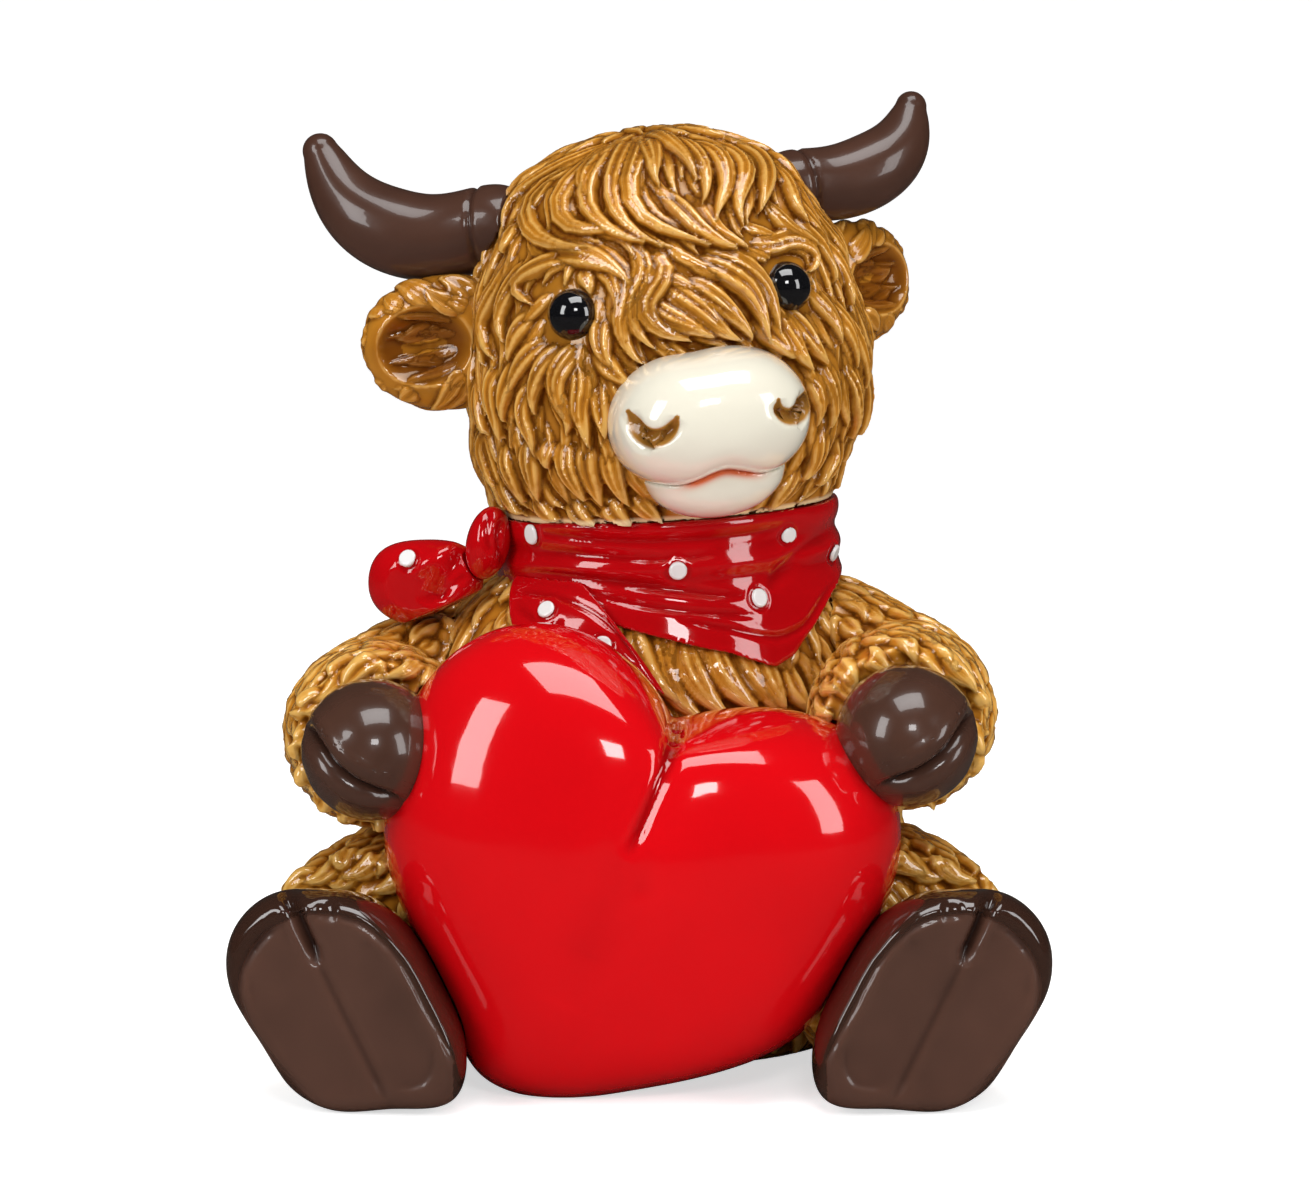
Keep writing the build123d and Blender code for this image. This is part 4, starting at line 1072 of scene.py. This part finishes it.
def cream_glaze(name):
    """Cream glaze, warmer in its hollows, with a brown wash in the nostrils, a red one at the lips and
    painted shade along its rim by the hair.
    """
    _, tree, shader = new_material(name)
    cream = tuple(colours().cream)
    nostril = attribute_in(tree, "nostril")
    clouds = clouds_in(tree, 40.0)
    colour = mix_in(tree, clouds["Clouds"], cream, toned(cream, 1.04))
    warm = ramp_in(tree, attribute_in(tree, "hollow"), [
        (0.5, WHITE), (0.75, (0.80, 0.58, 0.36)), (1.0, (0.55, 0.33, 0.15))])
    colour = mix_in(tree, 0.75, colour, warm, "MULTIPLY")
    # Painted shade: tan along the rim where the hair stands over the cream
    colour = mix_in(tree, attribute_in(tree, "rim"), colour, (0.70, 0.50, 0.25))
    wash = ramp_in(tree, nostril, [(0.0, WHITE), (0.35, (0.52, 0.25, 0.05)), (1.0, (0.13, 0.045, 0.005))])
    colour = mix_in(tree, 1.0, colour, wash, "MULTIPLY")
    colour = mix_in(tree, attribute_in(tree, "lip"), colour, (0.72, 0.12, 0.02))
    feed(tree, shader.inputs["Base Color"], colour)
    bump_in(tree, shader, clouds["Ripple"], 0.10, 0.0006)
    gloss(shader, 0.14, 1.0)
    feed(tree, shader.inputs["Coat Weight"], range_in(tree, nostril, (0.0, 1.0), (0.5, 0.05)))


def plain_glaze(name, colour, roughness, coat):
    """A glaze of one colour with faint clouds."""
    material, tree, shader = new_material(name)
    clouds = clouds_in(tree, 80.0)
    feed(tree, shader.inputs["Base Color"],
         mix_in(tree, clouds["Clouds"], toned(colour, 0.94), toned(colour, 1.05)))
    bump_in(tree, shader, clouds["Ripple"], 0.08, 0.0004)
    gloss(shader, roughness, coat)
    return material


# Pieces

def head_inner(centre, normal):
    """True for the lid's faces that lie inside it, on its rim or on its flange."""
    below = (SEAT.inverted() @ centre).z < 0.2 * MM
    out = centre - HEAD.translation
    return below or normal.dot(out) < 0


def jar_inner(centre, normal):
    """True for the jar's faces inside it and round its mouth."""
    out = Vector((centre.x - 0.002, centre.y, 0))
    high = (SEAT.inverted() @ centre).z > -12 * MM
    return high or (normal.dot(out) < 0 and not centre.z < 0.05 * MM)


def calmed(bm, grain, sink, free):
    """A skin with its coarse locks smoothed away, drawn in by the sink where a test from 0 to 1 frees it."""
    mesh = remeshed(bm, grain)
    bm.free()
    rows = places_of(mesh)
    share = np.array([free(Vector(row)) for row in rows])[:, None]
    edges = edge_rows(mesh)
    soft = rows
    for _ in range(CALM_STEPS):
        soft = soft + (relaxed(soft, edges, 1) - soft) * share
    put_places(mesh, soft)
    normals = normals_of(mesh)
    lost = np.einsum("ij,ij->i", rows - soft, normals)[share[:, 0] > 0.99].mean()
    put_places(mesh, soft + normals * (share * (lost - sink)))
    calm = shape_of(mesh)
    bpy.data.meshes.remove(mesh)
    return calm


def sunk(node, sink):
    """A node's outer shells, drawn in to make room for the locks."""
    bm = outer_shells(node)
    bm.normal_update()
    moves = [(vert, vert.normal * -sink) for vert in bm.verts]
    for vert, move in moves:
        vert.co += move
    return bm


def inside(tree, place):
    """True inside a closed shape: a ray from there leaves through an odd number of faces."""
    way = Vector((0.31, 0.17, 0.93)).normalized()
    crossings = 0
    start = Vector(place)
    while crossings < 40:
        hit = tree.ray_cast(start, way)[0]
        if hit is None:
            break
        crossings += 1
        start = hit + way * 1e-6
    return crossings % 2 == 1


def keep_clear(*shapes):
    """A test for places in or near the named nodes: pairs of node and least distance in millimetres."""
    trees = []
    for node, apart in shapes:
        low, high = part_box(node)
        margin = max(apart, 0) * MM
        trees.append((surface_of(outer_shells(node)), apart * MM, [value - margin for value in low],
                      [value + margin for value in high]))

    def blocked(place):
        for tree, apart, low, high in trees:
            if any(not a < value < b for a, value, b in zip(low, place, high)):
                continue
            if tree.find_nearest(place)[3] < apart or inside(tree, place):
                return True
        return False

    return blocked


def locks_on(bm, flow, drawn, width, height, length, spacing, dice, blocked, bend):
    """The drawn locks, and smaller ones between them that follow the flow."""
    tree = BVHTree.FromBMesh(bm)
    drawn = [run for run in drawn if not blocked(Vector(run[0][len(run[0]) // 2]))]
    locks = [Lock(points, normals, width * dice.uniform(1.0, 1.25), height * dice.uniform(1.0, 1.3),
                  dice.choice((2, 3, 3)), dice.uniform(-0.8, 0.8), 0.9) for points, normals in drawn]
    taken = np.concatenate([points for points, _ in drawn]) if drawn else np.full((1, 3), 9.0)
    for place in scattered(bm, spacing, dice, blocked):
        grown = grown_run(tree, flow, place, length * dice.uniform(0.75, 1.25),
                          bend * dice.uniform(0.5, 1.3), dice.choice((0, math.pi)), blocked)
        if grown is None:
            continue
        near = np.min(np.sum((taken - grown[0].mean(axis=0)) ** 2, axis=1)) < (width * 0.75) ** 2
        share = 0.62 if near else dice.uniform(0.8, 1.15)
        share *= 0.55 + 0.05 * len(grown[0])
        locks.append(Lock(*grown, width * share, height * share * 0.9, dice.choice((2, 2, 3)),
                          dice.uniform(-0.8, 0.8), 0.7))
    return locks


def halves(mesh, y):
    """A mesh parted into its front and its back, shaded as one."""
    layer = mesh.attributes.new("shade", "FLOAT_VECTOR", "POINT")
    layer.data.foreach_set("vector", normals_of(mesh).astype(np.float32).ravel())
    parts = []
    for front in (True, False):
        bm = shape_of(mesh)
        drop_faces(bm, lambda centre, normal: (centre.y < y) != front)
        part = mesh_from(bm, mesh.name)
        rows = np.empty(len(part.vertices) * 3, dtype=np.float32)
        part.attributes["shade"].data.foreach_get("vector", rows)
        part.normals_split_custom_set_from_vertices(rows.reshape(-1, 3))
        parts.append(part)
    return parts


def on_table(mesh):
    """Keeps a mesh on the surface that the jar stands on."""
    rows = places_of(mesh)
    rows[:, 2] = np.maximum(rows[:, 2], 0.15 * MM)
    put_places(mesh, rows)


def polished(node, grain, steps):
    """A node's shape as one even, smooth skin."""
    bm = outer_shells(node)
    mesh = remeshed(bm, grain, node)
    bm.free()
    polish(mesh, steps)
    return mesh


def polished_pieces(nodes, grain, steps, material, body, shape=None):
    """Finishes nodes as smooth glazed pieces."""
    for node in nodes:
        mesh = polished(node, grain, steps)
        if shape is not None:
            shape(mesh)
        add_hollows(mesh)
        finish_piece(f"{node}_glazed", mesh, material, body, (node,))


def nearness(mesh, node, width):
    """How near each point lies to a node, from 1 on it down to 0 over a width."""
    apart = apart_from(surface_of(merged_copy(node)), places_of(mesh))
    return np.exp(-(apart / width) ** 2)


def wash_muzzle(mesh):
    """Shapes the nostrils and the lip, and stores where their washes lie and where shade is painted along the
    rim by the hair.
    """
    nostril = np.zeros(len(mesh.vertices))
    if mesh.name.startswith("muzzle"):
        other, width = "chin", 0.8 * MM
        for cleft in ("nostrils", "far_nostril"):
            filled(mesh, *OLD_CLEFTS[cleft])
        spots = on_plane(places_of(mesh))
        seen = near_seen(mesh, NOSTRILS, 3.5)
        for _, wide, line in NOSTRILS:
            apart, along = by_line(spots, line)
            middle = np.mean(line, axis=0) + (0, NOSTRIL_RISE)
            inner = np.clip(1.6 - 0.25 * np.linalg.norm(spots - middle, axis=1), 0, 1)
            reach = wide * (1.7 - 0.5 * inner) * np.sqrt(np.sin(math.pi * np.clip(along, 0.02, 0.98)))
            nostril = np.maximum(nostril, np.clip(2.0 * (1 - apart / reach), 0, 1) * (0.65 + 0.35 * inner))
        nostril = nostril * seen
        pressed(mesh, NOSTRILS, lambda rows: seen)
    else:
        other, width = "muzzle", 1.5 * MM
        thickened(mesh, (nearness(mesh, other, width) * 0.45 * MM)[:, None])
    across = (on_plane(places_of(mesh))[:, 0] - MOUTH[0]) / MOUTH[1]
    mouth = nearness(mesh, other, width) * np.exp(-across ** 4)
    add_values(mesh, "nostril", nostril)
    # Painted shade: strongest next to the head's hair, fading over about 3 mm
    add_values(mesh, "rim", nearness(mesh, "head_shell", 3.0 * MM) * 0.45)
    add_values(mesh, "lip", np.clip(mouth * 1.5, 0, 0.95))


def mirrored(folds, lift=0.0):
    """Folds of the cow's right, as they lie on its left."""
    return [(depth, width, [(-x - 2 * AIM.x / MM, z + lift) for x, z in fold])
            for depth, width, fold in folds]


def shape_hoof(mesh, sign):
    """Rounds a front hoof and presses its folds."""
    middle = (sign * FRONT_HOOF[0], FRONT_HOOF[1], FRONT_HOOF[2] + (LEFT_HOOF_RISE if sign > 0 else 0.0))
    rows = (places_of(mesh) / MM - middle) / FRONT_HOOF_HALF
    size = np.linalg.norm(rows, axis=1, keepdims=True)
    rows = np.where((size > 0.84) & (size < 1), rows / size, rows)
    put_places(mesh, (rows * FRONT_HOOF_HALF + middle) * MM)
    pressed(mesh, mirrored(HOOF_FOLDS, LEFT_HOOF_RISE) if sign > 0 else HOOF_FOLDS)


def shape_sole(mesh, sign):
    """Levels a rear hoof's sole, fills its cleft, stores the band round its plate and presses its folds."""
    folds = mirrored(SOLE_FOLDS) if sign > 0 else SOLE_FOLDS
    place = Matrix.Translation((sign * SOLE[0], *SOLE[1:]))
    place = place @ Matrix.Rotation(math.radians(SOLE_TURN * sign), 4, "Z")
    rows = places_of(mesh)
    local = (rows - np.array(place.translation)) @ np.array(place.to_3x3()) / MM
    in_front = local[:, 1] < SOLE_DEPTH
    reach = np.hypot(local[:, 0] / SOLE_HALF[0], (local[:, 2] + SOLE_DROP) / SOLE_HALF[1])
    share = (np.clip((1.15 - reach) * 8, 0, 1) * in_front)[:, None]
    edges = edge_rows(mesh)
    for _ in range(LEVEL_STEPS):
        rows = rows + (relaxed(rows, edges, 1) - rows) * share
    put_places(mesh, rows)
    (x, y), wide, steps = OLD_CLEFTS["sole"]
    filled(mesh, (x if sign < 0 else -x - 2 * AIM.x / MM, y), wide, steps)
    spots = on_plane(places_of(mesh))
    rims = [fold for _, _, fold in folds[:2]]
    plate = rims[0] + rims[1]
    plate = plate + [(x, y - 24) for x, y in (plate[-1], plate[0])]
    apart = np.minimum(*(by_line(spots, rim)[0] for rim in rims))
    band = np.where(in_front, np.clip(apart / 0.8, 0, 1), 1)
    add_values(mesh, "band", np.where(within(spots, plate) & in_front, 0, band))
    pressed(mesh, folds)
    put_places(mesh, relaxed(places_of(mesh), edges, 2))


# Operators

class JAR_OT_glazes(bpy.types.Operator):
    """Makes the glazes, and coats the pieces that keep their made shape"""

    bl_idname = "jar.glazes"
    bl_label = "Glazes"

    def execute(self, context):
        strand_group()
        cloud_group()
        hair_glaze("Hair glaze", 0.42)
        hair_glaze("Limb hair glaze", 0.54)
        red_glaze("Heart glaze", 1.0)
        red_glaze("Cloth glaze", 0.76)
        brown_glaze("Horn glaze", 0.28, 0.5)
        brown_glaze("Hoof glaze", 0.26, 0.7)
        brown_glaze("Sole glaze", 0.34, 0.45, 1.25)
        cream_glaze("Cream glaze")
        plain_glaze("Eye glaze", (0.004, 0.004, 0.005), 0.08, 1.0)
        plain_glaze("Dot enamel", (0.80, 0.80, 0.79), 0.2, 0.8)
        plain_glaze("Inner glaze", (0.60, 0.34, 0.13), 0.25, 0.8)
        ring = plain_glaze("Seal rubber", (0.62, 0.62, 0.55), 0.45, 0.0)
        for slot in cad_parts["lid_seal"].material_slots:
            slot.material = ring
        return {"FINISHED"}


class JAR_OT_stage(bpy.types.Operator):
    """Sets the floor, the lights and the camera"""

    bl_idname = "jar.stage"
    bl_label = "Stage"

    def execute(self, context):
        scene = context.scene
        bm = bmesh.new()
        verts = [bm.verts.new((x, FLOOR_FRONT, 0)) for x in (-FLOOR_HALF, FLOOR_HALF)]
        edges = [bm.edges.new(verts)]
        for y, z in FLOOR_RUN:
            made = bmesh.ops.extrude_edge_only(bm, edges=edges)["geom"]
            for vert in made:
                if isinstance(vert, bmesh.types.BMVert):
                    vert.co.y, vert.co.z = y, z
            edges = [part for part in made if isinstance(part, bmesh.types.BMEdge)]
        bmesh.ops.recalc_face_normals(bm, faces=bm.faces)
        mesh = mesh_from(bm, "floor")
        mesh.shade_smooth()
        floor = new_object("floor", mesh)
        material, tree, shader = new_material("Pale floor")
        shader.inputs["Roughness"].default_value = 0.9
        shader.inputs["Specular IOR Level"].default_value = 0.0
        shader.inputs["Emission Color"].default_value = (1, 1, 1, 1)
        ray = node_in(tree, "ShaderNodeLightPath").outputs
        feed(tree, shader.inputs["Emission Strength"],
             sum_in(tree, "MULTIPLY", ray["Is Camera Ray"], FLOOR_GLOW))
        feed(tree, shader.inputs["Base Color"],
             mix_in(tree, ray["Is Glossy Ray"], (0.90, 0.90, 0.90), FLOOR_IN_GLAZE))
        mesh.materials.append(material)
        scene.world = bpy.data.worlds.new("Studio")
        scene.world.use_nodes = True
        tree = scene.world.node_tree
        sky = tree.nodes["Background"]
        ray = node_in(tree, "ShaderNodeLightPath").outputs
        light = mix_in(tree, ray["Is Glossy Ray"], (1.0, 1.0, 1.0), SURROUND_IN_GLAZE)
        feed(tree, sky.inputs["Color"], mix_in(tree, ray["Is Camera Ray"], light, SURROUND_SEEN))
        sky.inputs["Strength"].default_value = SURROUND_LIGHT
        for name, place, width, height, power in STUDIO_LIGHTS:
            lamp = bpy.data.lights.new(name, "AREA")
            lamp.shape = "RECTANGLE"
            lamp.size = width
            lamp.size_y = height
            lamp.energy = power
            holder = new_object(name, lamp)
            holder.location = place
            holder.rotation_euler = (AIM - Vector(place)).to_track_quat("-Z", "Y").to_euler()
        lens = bpy.data.cameras.new("Camera")
        lens.lens = LENS
        lens.sensor_width = SENSOR
        lens.clip_end = 20
        camera = new_object("Camera", lens)
        camera.location = CAMERA_PLACE
        camera.rotation_euler = (math.pi / 2 - CAMERA_TILT, 0, 0)
        scene.camera = camera
        scene.view_settings.view_transform = "Standard"
        return {"FINISHED"}


class JAR_OT_head_hair(bpy.types.Operator):
    """Models the hair that covers the lid"""

    bl_idname = "jar.head_hair"
    bl_label = "Head hair"

    def execute(self, context):
        held = sizes()
        dice = random.Random(held.seed)
        seat = SEAT.inverted()
        skin = calmed(outer_skin("head_shell", head_inner), 1.2 * MM, held.head_lock_height * SINK,
                      lambda place: min(1.0, max(0.0, ((seat @ place).z / MM - 1) / 6)))
        tree = BVHTree.FromBMesh(skin)
        drawn = drawn_runs(tree, HEAD_LOCKS)
        guides = []
        for turn in range(24):
            angle = math.tau * turn / 24
            out = Vector((math.sin(angle), math.cos(angle), 0))
            if out.y < -0.25:
                continue
            for rise in HEAD_GUIDES:
                guides.append((HEAD @ (out * 0.056 * math.cos(rise * 18) + Vector((0, 0, rise))),
                               HEAD.to_3x3() @ (Vector((0, 0, -1)) + out * max(0, rise) * 25)))
        hidden = keep_clear(*HEAD_CLEAR)
        locks = locks_on(skin, flow_over(tree, drawn, guides), drawn, held.head_lock_width,
                         held.head_lock_height, LENGTH["head"], SPACING["head"], dice,
                         lambda place: (seat @ place).z < 1.5 * MM or hidden(place), SWING["head"])
        mesh = hair_mesh(skin, locks, held.hair_grain, "head_hair")
        rise = np.array([(seat @ Vector(row)).z for row in places_of(mesh)]) / MM
        add_values(mesh, "edge", np.clip((2.4 - rise) / 0.8, 0, 1))
        cut_away(mesh, lambda centre, normal: (seat @ centre).z < 1.6 * MM and normal.z < -0.6)
        front, back = halves(mesh, HEAD.translation.y)
        inner = lining("head_shell", head_inner)
        for name, part, material in (("head_hair_front", front, "Hair glaze"),
                                     ("head_hair_back", back, "Hair glaze"),
                                     ("lid_lining", inner, "Inner glaze")):
            finish_piece(name, part, material, "lid", ("head_shell",))
        return {"FINISHED"}


class JAR_OT_body_hair(bpy.types.Operator):
    """Models the hair that covers the jar's body"""

    bl_idname = "jar.body_hair"
    bl_label = "Body hair"

    def execute(self, context):
        held = sizes()
        dice = random.Random(held.seed + 1)
        skin = calmed(outer_skin("jar_shell", jar_inner), 1.4 * MM, held.head_lock_height * SINK,
                      lambda place: min(1.0, max(0.0, min(place.z / MM - 2, 152 - place.z / MM) / 8)))
        tree = BVHTree.FromBMesh(skin)
        drawn = drawn_runs(tree, CHEST_LOCKS)
        guides = [(Vector((math.sin(angle) * 0.07, math.cos(angle) * 0.06, rise)),
                   Vector((0.35 * math.sin(angle * 3), 0, -1)))
                  for angle in (math.tau * turn / 16 for turn in range(16))
                  for rise in BODY_GUIDES]
        hidden = keep_clear(*BODY_CLEAR)
        locks = locks_on(skin, flow_over(tree, drawn, guides), drawn, held.body_lock_width * 1.12,
                         held.head_lock_height, held.body_lock_length, SPACING["body"], dice,
                         lambda place: place.z < 3 * MM or place.z > BODY_HAIR_TOP or hidden(place),
                         SWING["body"])
        mesh = hair_mesh(skin, locks, held.polish_grain * 0.85, "body_hair")
        on_table(mesh)
        cut_away(mesh, lambda centre, normal: centre.z > BODY_CUT)
        finish_piece("body_hair", mesh, "Limb hair glaze", "jar", ("jar_shell",))
        finish_piece("jar_lining", lining("jar_shell", jar_inner), "Inner glaze", "jar", ("jar_shell",))
        return {"FINISHED"}


class JAR_OT_limb_hair(bpy.types.Operator):
    """Models the hair of the arms and the legs"""

    bl_idname = "jar.limb_hair"
    bl_label = "Limb hair"

    def execute(self, context):
        held = sizes()
        for number, (side, sign) in enumerate(SIDES):
            for limb, start, end, fall, hoof in LIMBS:
                node = f"{side}_{limb}"
                dice = random.Random(held.seed + 2 + number)
                skin = sunk(node, held.head_lock_height * SINK)
                places = [(sign * (start[0] + (end[0] - start[0]) * share),
                           start[1] + (end[1] - start[1]) * share,
                           start[2] + (end[2] - start[2]) * share) for share in (0, 0.3, 0.6, 1)]
                along = Vector((sign * (end[0] - start[0]), end[1] - start[1], 0)).normalized()
                flow = Flow(places, [Vector((sign, 0.2, -fall - 0.2)), along + Vector((sign * 0.4, 0, -fall)),
                                     along + Vector((0, 0, -fall)), along + Vector((0, 0, -fall))])
                hidden = keep_clear((f"{side}_{hoof}", 0.8), *LIMB_CLEAR)
                locks = locks_on(skin, flow, [], held.body_lock_width * 1.08,
                                 held.head_lock_height * 1.15, held.body_lock_length, SPACING["limb"],
                                 dice, lambda place: place.z < 2 * MM or hidden(place), SWING["limb"])
                mesh = hair_mesh(skin, locks, held.hair_grain * 1.15, f"{node}_hair")
                on_table(mesh)
                finish_piece(f"{node}_hair", mesh, "Limb hair glaze", "jar", (node,))
        return {"FINISHED"}


class JAR_OT_ears(bpy.types.Operator):
    """Models the ears with the hair round their hollows and the painted shade in them"""

    bl_idname = "jar.ears"
    bl_label = "Ears"

    def execute(self, context):
        held = sizes()
        for number, (side, sign) in enumerate(SIDES):
            length, width, sweep = EARS[side]
            place = HEAD @ Matrix.Translation((sign * EAR_ROOT[0], *EAR_ROOT[1:]))
            place = place @ Matrix.Rotation(math.radians(sign * sweep), 4, "Z")
            local = place.inverted()
            dice = random.Random(held.seed + 6 + number)
            skin = outer_shells(f"{side}_ear")
            hidden = keep_clear((f"{side}_horn", 0.4), ("head_shell", 0.8))

            def blocked(spot):
                seen = local @ spot
                across = (sign * seen.x - length / 2) / (length * 0.46)
                in_bowl = seen.y < -3 * MM and math.hypot(across, seen.z / (width * 0.31)) < 1
                return in_bowl or hidden(spot)

            spots = [(share * length * sign, -0.004, rise * width) for share in (0.1, 0.5, 0.9)
                     for rise in (-0.45, 0, 0.45)]
            flow = Flow([place @ Vector(spot) for spot in spots],
                        [place.to_3x3() @ Vector((sign, 0.5, 1.6 * spot[2] / width)) for spot in spots])
            tree = BVHTree.FromBMesh(skin)
            ridges = []
            for lean in (-0.75, -0.25, 0.25, 0.75):
                line = [place @ Vector((sign * length * share, -0.004, width * 0.30 * lean * (0.5 + share)))
                        for share in (0.22, 0.4, 0.6, 0.78)]
                ridges.append(Lock(*laid(tree, smooth_run(line, 8)), 0.0036, 0.0011, 2, 0.3, 0.4))
            locks = locks_on(skin, flow, [], held.body_lock_width * 1.1, held.head_lock_height * 0.5,
                             LENGTH["ear"], SPACING["ear"], dice, blocked, SWING["ear"])
            mesh = hair_mesh(skin, ridges + locks, held.hair_grain * 0.85, f"{side}_ear_hair")
            seen = (places_of(mesh) - np.array(place.translation)) @ np.array(place.to_3x3())
            reach = np.hypot((sign * seen[:, 0] - length / 2) / (length * 0.42), seen[:, 2] / (width * 0.30))
            # Where shade is painted: inside the ear's hollow, strongest in its middle
            add_values(mesh, "bowl", 0.85 * np.clip((1.05 - reach) * 3, 0, 1) * (seen[:, 1] < -2 * MM))
            finish_piece(f"{side}_ear_hair", mesh, "Hair glaze", "lid", (f"{side}_ear",))
        return {"FINISHED"}


class JAR_OT_tail(bpy.types.Operator):
    """Models the tail and its tuft"""

    bl_idname = "jar.tail"
    bl_label = "Tail"

    def execute(self, context):
        held = sizes()
        skin = outer_shells("tail")
        flow = Flow([Vector(corner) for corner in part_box("tail")],
                    [Vector((0.1, 0, -1)), Vector((0.4, 0.2, -1))])
        locks = locks_on(skin, flow, [], *TAIL_LOCK, LENGTH["tail"], SPACING["tail"],
                         random.Random(held.seed + 9), keep_clear(("jar_shell", 0.5)), SWING["tail"])
        mesh = hair_mesh(skin, locks, held.hair_grain, "tail_hair")
        finish_piece("tail_hair", mesh, "Hair glaze", "jar", ("tail",))
        return {"FINISHED"}


class JAR_OT_horns(bpy.types.Operator):
    """Finishes the horns"""

    bl_idname = "jar.horns"
    bl_label = "Horns"

    def execute(self, context):
        polished_pieces([f"{side}_horn" for side, _ in SIDES], 0.7 * MM, 4, "Horn glaze", "lid")
        return {"FINISHED"}


class JAR_OT_eyes(bpy.types.Operator):
    """Finishes the eyes"""

    bl_idname = "jar.eyes"
    bl_label = "Eyes"

    def execute(self, context):
        polished_pieces([f"{side}_eye" for side, _ in SIDES], 0.3 * MM, 6, "Eye glaze", "lid",
                        lambda mesh: thickened(mesh, 0.7 * MM))
        return {"FINISHED"}


class JAR_OT_muzzle(bpy.types.Operator):
    """Finishes the muzzle and the chin"""

    bl_idname = "jar.muzzle"
    bl_label = "Muzzle and chin"

    def execute(self, context):
        polished_pieces(("muzzle", "chin"), 0.45 * MM, 6, "Cream glaze", "lid",
                        wash_muzzle)
        return {"FINISHED"}


class JAR_OT_heart(bpy.types.Operator):
    """Finishes the heart"""

    bl_idname = "jar.heart"
    bl_label = "Heart"

    def execute(self, context):
        polished_pieces(("heart",), sizes().polish_grain, 14, "Heart glaze", "jar",
                        lambda mesh: pressed(mesh, HEART_FOLDS))
        return {"FINISHED"}


class JAR_OT_neckerchief(bpy.types.Operator):
    """Finishes the neckerchief, its knot, its tails and its dots"""

    bl_idname = "jar.neckerchief"
    bl_label = "Neckerchief"

    def execute(self, context):
        dots = surface_of(merged_copy("neckerchief_dots"))

        def off_dots(rows):
            return np.clip((apart_from(dots, rows) / MM - 0.8) / 1.5, 0, 1)

        for node, folds in CLOTH_FOLDS.items():
            mesh = polished(node, 0.6 * MM, 5)
            pressed(mesh, folds, off_dots)
            apart = apart_from(dots, places_of(mesh)) / MM
            thickened(mesh, -(DOT_DIP * MM * np.exp(-((apart - 0.6) / 0.5) ** 2))[:, None])
            if node in TAIL_LINES:
                drawn_in(mesh, *TAIL_LINES[node])
            if node == "neckerchief":
                spread(mesh)
            add_hollows(mesh)
            finish_piece(f"{node}_glazed", mesh, "Cloth glaze", "jar", (node,))
        polished_pieces(("neckerchief_dots",), 0.25 * MM, 3, "Dot enamel", "jar", spread)
        return {"FINISHED"}


class JAR_OT_hooves(bpy.types.Operator):
    """Finishes the four hooves"""

    bl_idname = "jar.hooves"
    bl_label = "Hooves"

    def execute(self, context):
        for side, sign in SIDES:
            polished_pieces((f"{side}_front_hoof",), 0.55 * MM, 3, "Hoof glaze", "jar",
                            lambda mesh: shape_hoof(mesh, sign))
            polished_pieces((f"{side}_rear_hoof",), 0.6 * MM, 4, "Sole glaze", "jar",
                            lambda mesh: shape_sole(mesh, sign))
        return {"FINISHED"}


STEPS = (JAR_OT_glazes, JAR_OT_stage, JAR_OT_head_hair, JAR_OT_body_hair, JAR_OT_limb_hair,
         JAR_OT_ears, JAR_OT_tail, JAR_OT_horns, JAR_OT_eyes, JAR_OT_muzzle, JAR_OT_heart,
         JAR_OT_neckerchief, JAR_OT_hooves)


class JAR_PT_panel(bpy.types.Panel):
    """Lists the sizes, the colours and the steps"""

    bl_idname = "JAR_PT_panel"
    bl_label = "Cow jar"
    bl_space_type = "VIEW_3D"
    bl_region_type = "UI"
    bl_category = "Cow jar"

    def draw(self, context):
        for held in (context.scene.jar_sizes, context.scene.jar_colours):
            box = self.layout.box()
            for name in held.__annotations__:
                box.prop(held, name)
        for step in STEPS:
            self.layout.operator(step.bl_idname)


CLASSES = (JarSizes, JarColours, *STEPS, JAR_PT_panel)


def register():
    """Makes the classes known, and gives the scene its sizes and colours."""
    for each in CLASSES:
        bpy.utils.register_class(each)
    bpy.types.Scene.jar_sizes = bpy.props.PointerProperty(type=JarSizes)
    bpy.types.Scene.jar_colours = bpy.props.PointerProperty(type=JarColours)


def unregister():
    """Takes the classes, the sizes and the colours away."""
    del bpy.types.Scene.jar_colours
    del bpy.types.Scene.jar_sizes
    for each in reversed(CLASSES):
        bpy.utils.unregister_class(each)


def main():
    """Builds every piece."""
    register()
    for step in STEPS:
        group, name = step.bl_idname.split(".")
        getattr(getattr(bpy.ops, group), name)()


if __name__ == "__main__":
    main()
